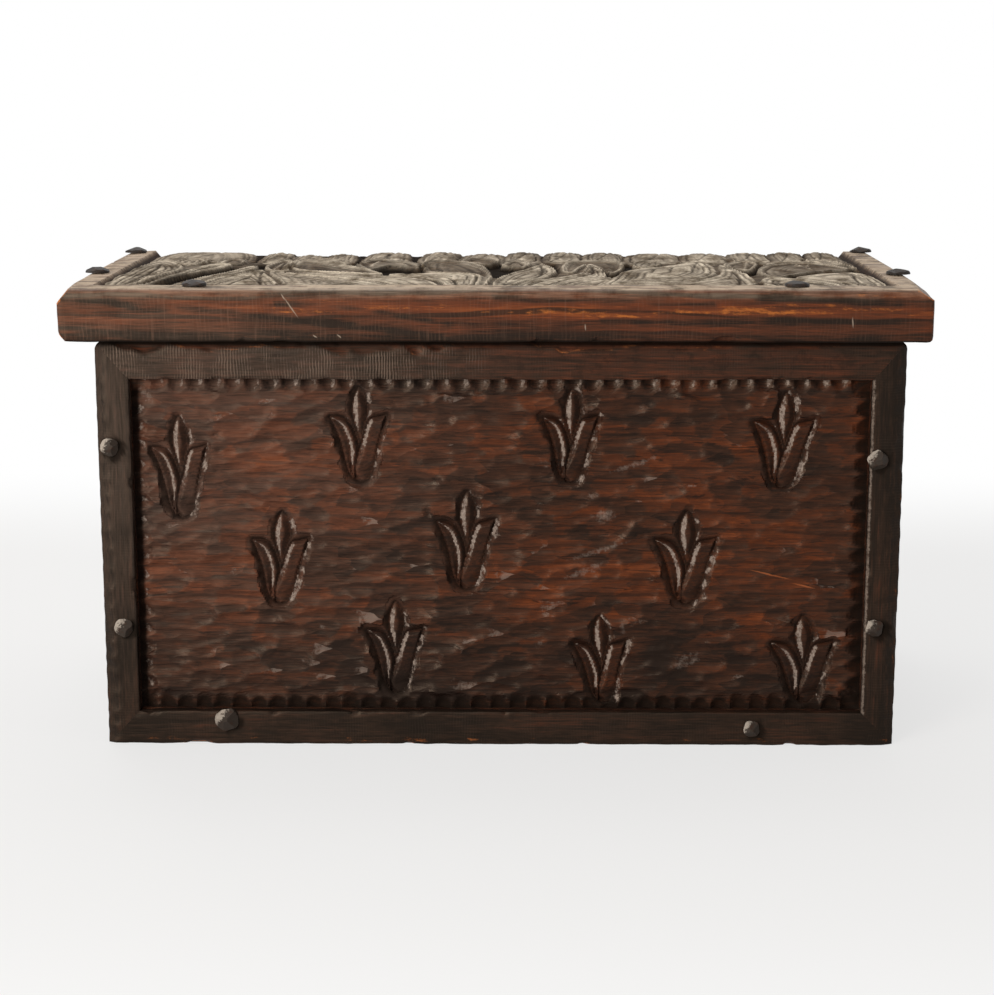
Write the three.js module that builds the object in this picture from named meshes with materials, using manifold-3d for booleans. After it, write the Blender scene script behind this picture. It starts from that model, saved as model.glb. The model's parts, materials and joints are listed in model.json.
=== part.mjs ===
// A small coffer chest: five nailed boards, a mitred moulding frame round a carved front,
// and one thick carved plank as the lid, on two iron hinges at the back.
// Millimetres, +Z up, the front towards -Y. The origin is the middle of the footprint, on the floor.
import * as THREE from "three";
import { mergeVertices } from "three/addons/utils/BufferGeometryUtils.js";
import Module from "manifold-3d";

const wasm = await Module();
wasm.setup();
const { union } = wasm.Manifold;

// The lid plank
const lidEndOverhang = 15.5; // past each end of the body
const lidDepth = 260;
const lidThickness = 32.5;
const lidFrontOverhang = 14;
const lidLeftShift = 3; // the body's middle lies this far to the right of the lid's
const lidEndChamfer = 4.5;
const lidFrontChamfer = 4;
const fieldDepth = 5.5; // how far the carved ground lies below the top
const endStripWidth = 23.5;
const frontBorderWidth = 22;
const leafSlope = 2.2; // how far a leaf's side leans in from its foot to its top
const leafTopDrop = 0.6; // the front leaves stop this far below the strips
const backLeafDrop = 1.9; // and the row along the back this far
const leafFoot = 1; // how far a leaf's foot reaches into the ground it is cut from
const leafClearance = 1; // between the outermost leaf and the end strips

// The body
const bodyLength = 500;
const lidLength = bodyLength + 2 * lidEndOverhang;
const bodyHeight = 259;
const boardGap = 0.3; // between pieces that touch
const frontThickness = 18;
const backThickness = 18;
const sideThickness = 21;
const bottomThickness = 16;
const bottomLift = 5; // the bottom board's underside above the floor
const wornEdge = 3; // chamfer of the worn upper corners

// The moulding frame on the front
const frameThickness = 7.5;
const stileWidth = 21.2;
const topRailWidth = 24.5;
const bottomRailWidth = 22;
const mitreGap = 0.25;
const stileChamferWidth = 10;
const stileChamferDepth = 5.5;

// The carving on the front board
const nickPitch = 12.4;
const nickReach = 9.5; // from the frame's edge to a nick's point
const nickDepth = 2.6;
const nickWidthShare = 0.96; // of the pitch
const nickDeepestShare = 0.33; // of the reach, out from the frame
const nickFloorShare = 0.14; // the flat floor of a nick against its mouth
const lilyWidth = 34.5;
const lilyHeight = 58.5;
const lilyGroundDepth = 3; // the ground beside a petal
const lilyGroundReach = 4; // how far that ground takes to slope back up to the face
const petalSlope = 1.5;
const carvingSkim = 0.25; // a carving cut starts this far above the face

// Iron
const hingeWidth = 44;
const hingeSpacing = 300;
const leafPlateHeight = 24;
const leafPlateThickness = 2;
const knuckleRadius = 4;
const pinRadius = 1.7;
const pinHeadRadius = 3;
const pinHeadThickness = 1.5;
const hingeNailInset = 9; // from a leaf's end
const hingeNailDrop = 15; // from the hinge's axis
const frontNailHead = 13;
const frontNailLength = 60;
const lidNailHead = 13;
const lidNailLength = 20;
const lidNailInset = 6.7; // from the lid's end to the nail's axis
const lidFrontNailInset = 20;
const boardNailHead = 9;
const boardNailLength = 45;
const hingeNailHead = 7;
const hingeNailLength = 13;
const shankWidth = 3.6;
const hingeShankWidth = 2.6;
const cutOverrun = 1;
const headRiseShare = 0.3; // of a nail head's width
const headShoulderShare = 0.55; // of its radius
const shoulderRiseShare = 0.75; // of its rise
const nailTaperShare = 0.8; // of a nail's length, where its point starts

// Counts
const barrelSides = 14;
const headSides = 7;
const shankSides = 6;
const leafStations = 5;

// Worked out from the sizes above
const knuckleAxisInset = boardGap + knuckleRadius; // from the back faces out to the hinge's axis
const totalDepth = lidDepth + knuckleAxisInset + knuckleRadius;
const lidFrontY = -totalDepth / 2;
const bodyDepth = lidDepth - lidFrontOverhang;
const lidUnderside = bodyHeight + boardGap;
const boardFrontY = frameThickness + boardGap; // in the body's own frame, whose y is 0 on the frame's face
const sideFrontY = boardFrontY + frontThickness + boardGap;
const backBoardY = bodyDepth - backThickness;
const sideBackY = backBoardY - boardGap;
const innerHalfLength = bodyLength / 2 - sideThickness;
const openingLeft = -bodyLength / 2 + stileWidth;
const openingRight = bodyLength / 2 - stileWidth;
const openingBottom = bottomRailWidth;
const openingTop = bodyHeight - topRailWidth;

const woods = { body: 0x4a2a1d, frame: 0x35221a, lid: 0x6b3c26, plain: 0x5a3826 };
const ironColour = 0x2b2622;

// Solids are kept here until every hole has been cut, then each becomes one mesh.
const body = new THREE.Group();
body.position.set(lidLeftShift, lidFrontY + lidFrontOverhang, 0);
const lid = new THREE.Group();
lid.position.set(0, lidFrontY, lidUnderside);
const pieces = new Map();

function addPiece(name, group, solid, colour, metalness = 0) {
  pieces.set(name, { group, solid, colour, metalness });
}

function solidOf(geometry) {
  const bare = geometry.clone();
  bare.deleteAttribute("normal");
  bare.deleteAttribute("uv");
  const merged = mergeVertices(bare);
  const mesh = new wasm.Mesh({
    numProp: 3,
    vertProperties: new Float32Array(merged.attributes.position.array),
    triVerts: new Uint32Array(merged.index.array),
  });
  return new wasm.Manifold(mesh);
}

function geometryOf(solid) {
  const mesh = solid.getMesh();
  const geometry = new THREE.BufferGeometry();
  geometry.setAttribute("position", new THREE.BufferAttribute(mesh.vertProperties, 3));
  geometry.setIndex(new THREE.BufferAttribute(mesh.triVerts, 1));
  const flat = geometry.toNonIndexed();
  flat.computeVertexNormals();
  return flat;
}

// A box from its lowest corner to its highest.
function block([x0, y0, z0], [x1, y1, z1]) {
  const geometry = new THREE.BoxGeometry(x1 - x0, y1 - y0, z1 - z0);
  geometry.translate((x0 + x1) / 2, (y0 + y1) / 2, (z0 + z1) / 2);
  return solidOf(geometry);
}

function anticlockwise(points) {
  return THREE.ShapeUtils.area(points) < 0 ? points.slice().reverse() : points;
}

// A closed solid between two outlines of as many points, the lower one at z = zLow.
function loft(lowOutline, highOutline, zLow, zHigh) {
  const count = lowOutline.length;
  const positions = [];
  const index = [];
  for (const p of lowOutline) positions.push(p.x, p.y, zLow);
  for (const p of highOutline) positions.push(p.x, p.y, zHigh);
  for (const [a, b, c] of THREE.ShapeUtils.triangulateShape(lowOutline, [])) index.push(a, c, b);
  for (const [a, b, c] of THREE.ShapeUtils.triangulateShape(highOutline, [])) {
    index.push(count + a, count + b, count + c);
  }
  for (let i = 0; i < count; i += 1) {
    const j = (i + 1) % count;
    index.push(i, j, count + j, i, count + j, count + i);
  }
  const geometry = new THREE.BufferGeometry();
  geometry.setAttribute("position", new THREE.Float32BufferAttribute(positions, 3));
  geometry.setIndex(index);
  return geometry;
}

// The outline moved outwards by a distance, or inwards by a negative one; sharp points are blunted.
function offsetOutline(points, distance) {
  const longestMitre = 1.6;
  return points.map((p, i) => {
    const before = points[(i + points.length - 1) % points.length];
    const after = points[(i + 1) % points.length];
    const into = p.clone().sub(before).normalize();
    const out = after.clone().sub(p).normalize();
    const normalIn = new THREE.Vector2(into.y, -into.x);
    const normalOut = new THREE.Vector2(out.y, -out.x);
    const middle = normalIn.clone().add(normalOut).normalize();
    const mitre = Math.min(1 / Math.max(middle.dot(normalIn), 1 / longestMitre), longestMitre);
    return p.clone().addScaledVector(middle, distance * mitre);
  });
}

// A plate with this outline in x and z, from yFront back to yBack.
function uprightPlate(points, yFront, yBack) {
  const outline = anticlockwise(points);
  const geometry = loft(outline, outline, -yBack, -yFront);
  return solidOf(geometry.rotateX(Math.PI / 2));
}

function outlineOf(pairs) {
  return pairs.map(([x, y]) => new THREE.Vector2(x, y));
}

// Body boards
const outerLeft = -bodyLength / 2;
const outerRight = bodyLength / 2;

function wornRectangle(x0, x1, z0, z1) {
  return outlineOf([
    [x0, z0],
    [x1, z0],
    [x1, z1 - wornEdge],
    [x1 - wornEdge, z1],
    [x0 + wornEdge, z1],
    [x0, z1 - wornEdge],
  ]);
}

let frontBoard = uprightPlate(
  wornRectangle(outerLeft, outerRight, 0, bodyHeight),
  boardFrontY,
  boardFrontY + frontThickness,
);
const backBoard = uprightPlate(
  wornRectangle(outerLeft, outerRight, 0, bodyHeight),
  backBoardY,
  bodyDepth,
);

function sideBoard(side) {
  const outer = (side * bodyLength) / 2;
  const inner = side * innerHalfLength;
  const outline = outlineOf([
    [inner, 0],
    [outer, 0],
    [outer, bodyHeight - wornEdge],
    [outer - side * wornEdge, bodyHeight],
    [inner, bodyHeight],
  ]);
  return uprightPlate(outline, sideFrontY, sideBackY);
}

const bottomBoard = block(
  [-innerHalfLength + boardGap, sideFrontY, bottomLift],
  [innerHalfLength - boardGap, sideBackY, bottomLift + bottomThickness],
);

// The moulding frame: each strip's ends run from an outer corner of the front to a corner of the opening.
const topRail = uprightPlate(
  outlineOf([
    [outerLeft + wornEdge + mitreGap, bodyHeight],
    [outerLeft + mitreGap, bodyHeight - wornEdge / 2],
    [openingLeft + mitreGap, openingTop],
    [openingRight - mitreGap, openingTop],
    [outerRight - mitreGap, bodyHeight - wornEdge / 2],
    [outerRight - wornEdge - mitreGap, bodyHeight],
  ]),
  0,
  frameThickness,
);
const bottomRail = uprightPlate(
  outlineOf([
    [outerLeft + mitreGap, 0],
    [outerRight - mitreGap, 0],
    [openingRight - mitreGap, openingBottom],
    [openingLeft + mitreGap, openingBottom],
  ]),
  0,
  frameThickness,
);

function stile(side) {
  const outer = (side * bodyLength) / 2;
  const opening = outer - side * stileWidth;
  const plate = uprightPlate(
    outlineOf([
      [outer, mitreGap],
      [opening, openingBottom + mitreGap],
      [opening, openingTop - mitreGap],
      [outer, bodyHeight - wornEdge / 2 - mitreGap * 2],
    ]),
    0,
    frameThickness,
  );
  const past = outer + side * cutOverrun;
  const chamfer = [
    [outer - side * stileChamferWidth, -cutOverrun],
    [outer - side * stileChamferWidth, 0],
    [outer, stileChamferDepth],
    [past, stileChamferDepth],
    [past, -cutOverrun],
  ];
  const cutOutline = anticlockwise(outlineOf(chamfer));
  const cut = loft(cutOutline, cutOutline, -cutOverrun, bodyHeight + cutOverrun);
  return plate.subtract(solidOf(cut));
}

// Carving that lies on the front board's face: x and z there, cut down from the face.
function facing(geometry) {
  geometry.rotateX(Math.PI / 2);
  geometry.translate(0, boardFrontY, 0);
  return solidOf(geometry);
}

// One gouge nick: a three-cornered scoop whose point looks away from the frame.
function nick(x, z, towardX, towardZ, pitch) {
  const alongX = Math.abs(towardZ);
  const alongZ = Math.abs(towardX);
  const flat = [
    [x - (alongX * pitch) / 2, z - (alongZ * pitch) / 2],
    [x + (alongX * pitch) / 2, z + (alongZ * pitch) / 2],
    [x + towardX * nickReach, z + towardZ * nickReach],
  ];
  const upper = anticlockwise(outlineOf(flat));
  const out = nickReach * nickDeepestShare;
  const deepest = new THREE.Vector2(x + towardX * out, z + towardZ * out);
  const lower = upper.map((p) => deepest.clone().lerp(p, nickFloorShare));
  return facing(loft(lower, upper, -nickDepth, carvingSkim));
}

function nickRow(length, place) {
  const count = Math.round(length / nickPitch);
  const pitch = length / count;
  const cuts = [];
  for (let i = 0; i < count; i += 1) cuts.push(place((i + 1 / 2) * pitch, pitch * nickWidthShare));
  return cuts;
}

const openingLength = openingRight - openingLeft;
const openingHeight = openingTop - openingBottom;
const nicks = [
  ...nickRow(openingLength, (t, pitch) => nick(openingLeft + t, openingTop, 0, -1, pitch)),
  ...nickRow(openingLength, (t, pitch) => nick(openingLeft + t, openingBottom, 0, 1, pitch)),
  ...nickRow(openingHeight, (t, pitch) => nick(openingLeft, openingBottom + t, 1, 0, pitch)),
  ...nickRow(openingHeight, (t, pitch) => nick(openingRight, openingBottom + t, -1, 0, pitch)),
];

// A lily: a middle petal between two that spread, the right one running down as the stem.
// Points are shares of the lily's width and height, from the middle of its foot.
const petalOutlineShares = {
  middle: [
    [-0.01, 1],
    [-0.12, 0.89],
    [-0.165, 0.76],
    [-0.11, 0.6],
    [0, 0.46],
    [0.11, 0.6],
    [0.18, 0.76],
    [0.13, 0.89],
  ],
  left: [
    [-0.5, 0.68],
    [-0.44, 0.4],
    [-0.32, 0.24],
    [-0.3, 0.02],
    [-0.21, 0.02],
    [-0.09, 0.22],
    [-0.05, 0.42],
    [-0.12, 0.56],
    [-0.25, 0.7],
  ],
  right: [
    [0.5, 0.72],
    [0.32, 0.73],
    [0.17, 0.6],
    [0.04, 0.4],
    [-0.07, 0.2],
    [-0.19, 0.01],
    [0.19, 0.02],
    [0.2, 0.24],
    [0.4, 0.52],
  ],
};
// Each lily's foot as shares of the opening's length and height, and its lean sideways at the tip.
const lilyFootShares = [
  [0.069, 0.588, -0.01],
  [0.314, 0.698, -0.01],
  [0.6, 0.697, 0.02],
  [0.891, 0.68, 0.02],
  [0.201, 0.326, 0.04],
  [0.458, 0.365, 0.01],
  [0.763, 0.327, -0.01],
  [0.361, 0.048, 0],
  [0.651, 0.02, -0.05],
  [0.929, 0.021, -0.04],
];

let petals = [];
let grounds = [];
for (const [footAcross, footUp, lean] of lilyFootShares) {
  const footX = openingLeft + footAcross * openingLength;
  const footZ = openingBottom + footUp * openingHeight;
  for (const shares of Object.values(petalOutlineShares)) {
    const points = shares.map(
      ([across, up]) =>
        new THREE.Vector2(footX + (across + lean * up) * lilyWidth, footZ + up * lilyHeight),
    );
    const outline = anticlockwise(points);
    const rim = offsetOutline(outline, lilyGroundReach);
    const crest = offsetOutline(outline, -petalSlope);
    grounds.push(facing(loft(outline, rim, -lilyGroundDepth, carvingSkim)));
    petals.push(facing(loft(outline, crest, -lilyGroundDepth - cutOverrun, 0)));
  }
}
const field = block(
  [openingLeft, boardFrontY - cutOverrun, openingBottom],
  [openingRight, boardFrontY + frontThickness / 2, openingTop],
);
frontBoard = frontBoard.subtract(union([...nicks, ...grounds]).intersect(field));
frontBoard = frontBoard.add(union(petals).intersect(field));

// The lid: two profiles that cross give its worn arrises, then the field is sunk and the leaves stand in it.
const halfLid = lidLength / 2;
const lidEndOutline = outlineOf([
  [-halfLid + lidEndChamfer, 0],
  [halfLid - lidEndChamfer, 0],
  [halfLid, lidEndChamfer],
  [halfLid, lidThickness - lidEndChamfer],
  [halfLid - lidEndChamfer, lidThickness],
  [-halfLid + lidEndChamfer, lidThickness],
  [-halfLid, lidThickness - lidEndChamfer],
  [-halfLid, lidEndChamfer],
]);
const lidSideOutline = outlineOf([
  [lidFrontChamfer / 2, 0],
  [lidDepth, 0],
  [lidDepth, lidThickness],
  [lidFrontChamfer, lidThickness],
  [0, lidThickness - lidFrontChamfer],
  [0, lidFrontChamfer / 2],
]);
const lidAlongLength = loft(lidSideOutline, lidSideOutline, -halfLid, halfLid);
lidAlongLength.applyMatrix4(
  new THREE.Matrix4().makeBasis(
    new THREE.Vector3(0, 1, 0),
    new THREE.Vector3(0, 0, 1),
    new THREE.Vector3(1, 0, 0),
  ),
);
let lidPlank = uprightPlate(lidEndOutline, 0, lidDepth).intersect(solidOf(lidAlongLength));

const fieldHalf = halfLid - endStripWidth;
const fieldLength = 2 * fieldHalf;
const fieldRun = lidDepth - frontBorderWidth;
const groundZ = lidThickness - fieldDepth;
const fieldCut = block(
  [-fieldHalf, frontBorderWidth, groundZ],
  [fieldHalf, lidDepth + cutOverrun, lidThickness + cutOverrun],
);

// Leaves as shares of the field: where the foot, the bend and the tip of the middle line lie,
// the widest half width, where along the leaf that is, and the foot's half width as a part of it.
const leafShares = [
  { foot: [0.02, -0.02], bend: [0.06, 0.4], tip: [0.035, 0.72], half: 0.028, widest: 0.45, heel: 0.8 },
  { foot: [0.062, 0.05], bend: [0.08, 0.42], tip: [0.14, 0.62], half: 0.022, widest: 0.5, heel: 0.5 },
  { foot: [0.1, -0.02], bend: [0.135, 0.34], tip: [0.178, 0.62], half: 0.019, widest: 0.45, heel: 0.8 },
  { foot: [0.165, -0.02], bend: [0.19, 0.25], tip: [0.19, 0.47], half: 0.05, widest: 0.02, heel: 1 },
  { foot: [0.3, -0.02], bend: [0.25, 0.2], tip: [0.2, 0.38], half: 0.058, widest: 0.1, heel: 0.9 },
  { foot: [0.36, 0.22], bend: [0.24, 0.4], tip: [0.2, 0.74], half: 0.04, widest: 0.5, heel: 0.5 },
  { foot: [0.442, -0.02], bend: [0.4, 0.32], tip: [0.26, 0.36], half: 0.03, widest: 0.35, heel: 0.7 },
  { foot: [0.375, 0.38], bend: [0.37, 0.5], tip: [0.355, 0.7], half: 0.033, widest: 0.5, heel: 0.6 },
  { foot: [0.465, -0.02], bend: [0.5, 0.4], tip: [0.4, 0.72], half: 0.038, widest: 0.5, heel: 0.45 },
  { foot: [0.52, -0.02], bend: [0.515, 0.28], tip: [0.565, 0.62], half: 0.029, widest: 0.45, heel: 0.6 },
  { foot: [0.555, -0.02], bend: [0.64, 0.22], tip: [0.632, 0.62], half: 0.026, widest: 0.4, heel: 0.7 },
  { foot: [0.61, -0.02], bend: [0.655, 0.17], tip: [0.645, 0.42], half: 0.03, widest: 0.3, heel: 0.8 },
  { foot: [0.655, 0.36], bend: [0.69, 0.54], tip: [0.64, 0.73], half: 0.03, widest: 0.5, heel: 0.4 },
  { foot: [0.645, 0.03], bend: [0.745, 0.25], tip: [0.793, 0.74], half: 0.055, widest: 0.5, heel: 0.3 },
  { foot: [0.77, -0.02], bend: [0.8, 0.12], tip: [0.812, 0.4], half: 0.045, widest: 0.02, heel: 1 },
  { foot: [0.815, -0.02], bend: [0.83, 0.3], tip: [0.805, 0.64], half: 0.019, widest: 0.3, heel: 0.9 },
  { foot: [0.855, 0.44], bend: [0.82, 0.56], tip: [0.845, 0.72], half: 0.017, widest: 0.5, heel: 0.6 },
  { foot: [0.87, 0.27], bend: [0.855, 0.62], tip: [0.945, 0.68], half: 0.027, widest: 0.5, heel: 0.8 },
  { foot: [0.92, 0.6], bend: [0.985, 0.6], tip: [0.975, 0.42], half: 0.016, widest: 0.3, heel: 0.9 },
  { foot: [0.945, -0.02], bend: [0.91, 0.2], tip: [0.965, 0.4], half: 0.037, widest: 0.5, heel: 0.7 },
  { foot: [0.895, -0.02], bend: [0.89, 0.12], tip: [0.85, 0.27], half: 0.024, widest: 0.4, heel: 0.8 },
  { foot: [0.965, 0.6], bend: [0.985, 0.72], tip: [0.96, 0.86], half: 0.016, widest: 0.5, heel: 0.7 },
];
// The row along the back: each leaf's place along the field and its half width.
const backLeafShares = [
  [0.035, 0.03],
  [0.1, 0.022],
  [0.143, 0.018],
  [0.195, 0.025],
  [0.262, 0.026],
  [0.345, 0.038],
  [0.425, 0.03],
  [0.475, 0.016],
  [0.535, 0.028],
  [0.6, 0.03],
  [0.66, 0.028],
  [0.715, 0.022],
  [0.765, 0.022],
  [0.815, 0.024],
  [0.87, 0.026],
  [0.925, 0.024],
];
const backLeafFootShare = 0.76;
const backLeafTipShare = 1.03;

function inField([across, along]) {
  const x = -fieldHalf + across * fieldLength;
  return new THREE.Vector2(x, frontBorderWidth + along * fieldRun);
}

// How wide a leaf is at t along it, as a part of its widest half width.
const tipFullness = 0.8;

function leafFullness(t, widest, heel) {
  if (t < widest) return heel + (1 - heel) * Math.sin((Math.PI / 2) * (t / widest));
  return Math.cos((Math.PI / 2) * ((t - widest) / (1 - widest))) ** tipFullness;
}

function leafOutline({ foot, bend, tip, half, widest, heel }) {
  const middle = new THREE.QuadraticBezierCurve(inField(foot), inField(bend), inField(tip));
  const left = [];
  const right = [];
  for (let i = 0; i < leafStations; i += 1) {
    const t = i / leafStations;
    const along = middle.getTangent(t);
    const across = new THREE.Vector2(-along.y, along.x);
    const reach = half * fieldLength * leafFullness(t, widest, heel);
    const at = middle.getPoint(t);
    left.push(at.clone().addScaledVector(across, reach));
    right.push(at.clone().addScaledVector(across, -reach));
  }
  return anticlockwise([...right, middle.getPoint(1), ...left.reverse()]);
}

function standingLeaf(outline, topZ) {
  return solidOf(loft(outline, offsetOutline(outline, -leafSlope), groundZ - leafFoot, topZ));
}

const backLeaves = backLeafShares.map(([across, half]) => ({
  foot: [across, backLeafFootShare],
  bend: [across, (backLeafFootShare + backLeafTipShare) / 2],
  tip: [across, backLeafTipShare],
  half,
  widest: 0.55,
  heel: 0.7,
}));
const leaves = [
  ...leafShares.map((leaf) => standingLeaf(leafOutline(leaf), lidThickness - leafTopDrop)),
  ...backLeaves.map((leaf) => standingLeaf(leafOutline(leaf), lidThickness - backLeafDrop)),
];
const leafRoom = block(
  [-fieldHalf + leafClearance, frontBorderWidth - leafFoot, groundZ - leafFoot],
  [fieldHalf - leafClearance, lidDepth, lidThickness],
);
lidPlank = lidPlank.subtract(fieldCut).add(union(leaves).intersect(leafRoom));

addPiece("front_board", body, frontBoard, woods.body);
addPiece("back_board", body, backBoard, woods.plain);
addPiece("left_side_board", body, sideBoard(-1), woods.plain);
addPiece("right_side_board", body, sideBoard(1), woods.plain);
addPiece("bottom_board", body, bottomBoard, woods.plain);
addPiece("frame_top_rail", body, topRail, woods.frame);
addPiece("frame_bottom_rail", body, bottomRail, woods.frame);
addPiece("frame_left_stile", body, stile(-1), woods.frame);
addPiece("frame_right_stile", body, stile(1), woods.frame);
addPiece("lid_plank", lid, lidPlank, woods.lid);

// Hinges, each in a frame whose origin is the middle of its pin.
const bodyBackY = bodyDepth + knuckleAxisInset;
const lidBackY = lidDepth + knuckleAxisInset;
const axisBelowLid = boardGap / 2;
const knuckleLength = (hingeWidth - 4 * boardGap) / 3;

function rod(radius, x0, x1, sides) {
  const geometry = new THREE.CylinderGeometry(radius, radius, x1 - x0, sides);
  geometry.rotateZ(Math.PI / 2);
  geometry.translate((x0 + x1) / 2, 0, 0);
  return solidOf(geometry);
}

function hingeLeaf(up) {
  const half = hingeWidth / 2;
  const middleHalf = knuckleLength / 2 + boardGap;
  const plateFront = -knuckleRadius;
  const plateBack = -knuckleRadius + leafPlateThickness;
  const zNear = (up * boardGap) / 2;
  const zFar = up * leafPlateHeight;
  const plate = block(
    [-half, plateFront, Math.min(zNear, zFar)],
    [half, plateBack, Math.max(zNear, zFar)],
  );
  const clearance = knuckleRadius + boardGap;
  const zRoom = [Math.min(-cutOverrun * up, clearance * up), Math.max(-cutOverrun * up, clearance * up)];
  const room = (x0, x1) =>
    block([x0, plateFront - cutOverrun, zRoom[0]], [x1, plateBack + cutOverrun, zRoom[1]]);
  const bore = rod(pinRadius + boardGap, -half - cutOverrun, half + cutOverrun, barrelSides);
  if (up > 0) {
    const inner = knuckleLength / 2;
    const barrel = rod(knuckleRadius, -inner, inner, barrelSides);
    const sides = union([room(-half - cutOverrun, -inner), room(inner, half + cutOverrun)]);
    return plate.subtract(sides).add(barrel).subtract(bore);
  }
  const barrels = union([
    rod(knuckleRadius, -half, -middleHalf, barrelSides),
    rod(knuckleRadius, middleHalf, half, barrelSides),
  ]);
  return plate.subtract(room(-middleHalf, middleHalf)).add(barrels).subtract(bore);
}

function hingePin() {
  const half = hingeWidth / 2 + boardGap;
  return union([
    rod(pinRadius, -half - pinHeadThickness, half + pinHeadThickness, barrelSides),
    rod(pinHeadRadius, half, half + pinHeadThickness, barrelSides),
    rod(pinHeadRadius, -half - pinHeadThickness, -half, barrelSides),
  ]);
}

const hinges = [
  { name: "left_hinge", x: -hingeSpacing / 2 },
  { name: "right_hinge", x: hingeSpacing / 2 },
];
for (const { name, x } of hinges) {
  const atBody = [x - lidLeftShift, bodyBackY, bodyHeight + axisBelowLid];
  addPiece(name + "_body_leaf", body, hingeLeaf(-1).translate(atBody), ironColour, 1);
  addPiece(name + "_pin", body, hingePin().translate(atBody), ironColour, 1);
  addPiece(name + "_lid_leaf", lid, hingeLeaf(1).translate([x, lidBackY, -axisBelowLid]), ironColour, 1);
}

// Nails: a faceted head and a tapering shank. Each one's hole is cut in every piece that it passes.
function nailProfile(headRadius, length, shankRadius) {
  const rise = headRadius * 2 * headRiseShare;
  return outlineOf([
    [0, -length],
    [shankRadius, -length * nailTaperShare],
    [shankRadius, 0],
    [headRadius, 0],
    [headRadius * headShoulderShare, rise * shoulderRiseShare],
    [0, rise],
  ]);
}

function turned(profile, sides) {
  const geometry = new THREE.LatheGeometry(profile, sides);
  return geometry.rotateX(Math.PI / 2);
}

// at is the point of the nail's axis on the surface, and outward the way its head looks.
function driveNail({ name, group, at, outward, head, length, shank, through, twist = 0 }) {
  const turn = new THREE.Quaternion().setFromUnitVectors(new THREE.Vector3(0, 0, 1), outward);
  const place = new THREE.Matrix4().compose(at, turn, new THREE.Vector3(1, 1, 1));
  const raised = new THREE.Matrix4().makeTranslation(0, 0, boardGap);
  const spun = new THREE.Matrix4().makeRotationZ(twist);
  const seat = place.clone().multiply(raised).multiply(spun);
  const nail = turned(nailProfile(head / 2, length, shank / 2), headSides).applyMatrix4(seat);
  const holeRadius = (shank / 2 + boardGap) / Math.cos(Math.PI / shankSides);
  const hole = new THREE.CylinderGeometry(holeRadius, holeRadius, length + boardGap * 2, shankSides);
  hole.rotateX(Math.PI / 2).translate(0, 0, -length / 2);
  hole.applyMatrix4(place);
  const drill = solidOf(hole);
  for (const piece of through) pieces.get(piece).solid = pieces.get(piece).solid.subtract(drill);
  addPiece(name, group, solidOf(nail), ironColour, 1);
}

const towardFront = new THREE.Vector3(0, -1, 0);
const towardBack = new THREE.Vector3(0, 1, 0);
const upward = new THREE.Vector3(0, 0, 1);
const frontNail = { group: body, outward: towardFront, length: frontNailLength, shank: shankWidth };

// In from the outer edge as a share of the side board's thickness, up as a share of the body's height.
const stileNailShares = {
  left_stile_upper_nail: { side: -1, inward: 0.4, up: 0.742, head: 0.95, twist: 0.3 },
  left_stile_lower_nail: { side: -1, inward: 0.62, up: 0.297, head: 1, twist: 0.9 },
  right_stile_upper_nail: { side: 1, inward: 0.78, up: 0.715, head: 1.05, twist: 0.1 },
  right_stile_lower_nail: { side: 1, inward: 0.72, up: 0.3, head: 0.95, twist: 0.6 },
};
for (const [name, nail] of Object.entries(stileNailShares)) {
  const side = nail.side < 0 ? "left" : "right";
  const x = nail.side * (bodyLength / 2 - nail.inward * sideThickness);
  driveNail({
    ...frontNail,
    name,
    at: new THREE.Vector3(x, 0, nail.up * bodyHeight),
    head: frontNailHead * nail.head,
    twist: nail.twist,
    through: ["frame_" + side + "_stile", "front_board", side + "_side_board"],
  });
}

// Along as a share of the body's length from its middle, up as a share of the bottom board's thickness.
const bottomNailShares = {
  bottom_rail_left_nail: { along: -0.347, up: 0.7, head: 1.25, twist: 0.5 },
  bottom_rail_right_nail: { along: 0.32, up: 0.4, head: 0.9, twist: 0.2 },
};
for (const [name, nail] of Object.entries(bottomNailShares)) {
  driveNail({
    ...frontNail,
    name,
    at: new THREE.Vector3(nail.along * bodyLength, 0, bottomLift + nail.up * bottomThickness),
    head: frontNailHead * nail.head,
    twist: nail.twist,
    through: ["frame_bottom_rail", "front_board", "bottom_board"],
  });
}

// The lid's nails stand on its end strips, as shares of its depth, and on its front border.
const lidEndNailShares = { left: [0.377, 0.923], right: [0.357, 0.955] };
for (const [side, places] of Object.entries(lidEndNailShares)) {
  const sign = side === "left" ? -1 : 1;
  places.forEach((along, i) => {
    driveNail({
      name: "lid_" + side + (i ? "_back_nail" : "_middle_nail"),
      group: lid,
      at: new THREE.Vector3(sign * (halfLid - lidNailInset), along * lidDepth, lidThickness),
      outward: upward,
      head: lidNailHead,
      length: lidNailLength,
      shank: shankWidth,
      twist: along,
      through: ["lid_plank"],
    });
  });
}
const lidFrontNailShare = 0.347;
for (const side of ["left", "right"]) {
  const sign = side === "left" ? -1 : 1;
  driveNail({
    name: "lid_front_" + side + "_nail",
    group: lid,
    at: new THREE.Vector3(sign * lidFrontNailShare * lidLength, lidFrontNailInset, lidThickness),
    outward: upward,
    head: lidNailHead,
    length: lidNailLength,
    shank: shankWidth,
    through: ["lid_plank"],
  });
}

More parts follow.
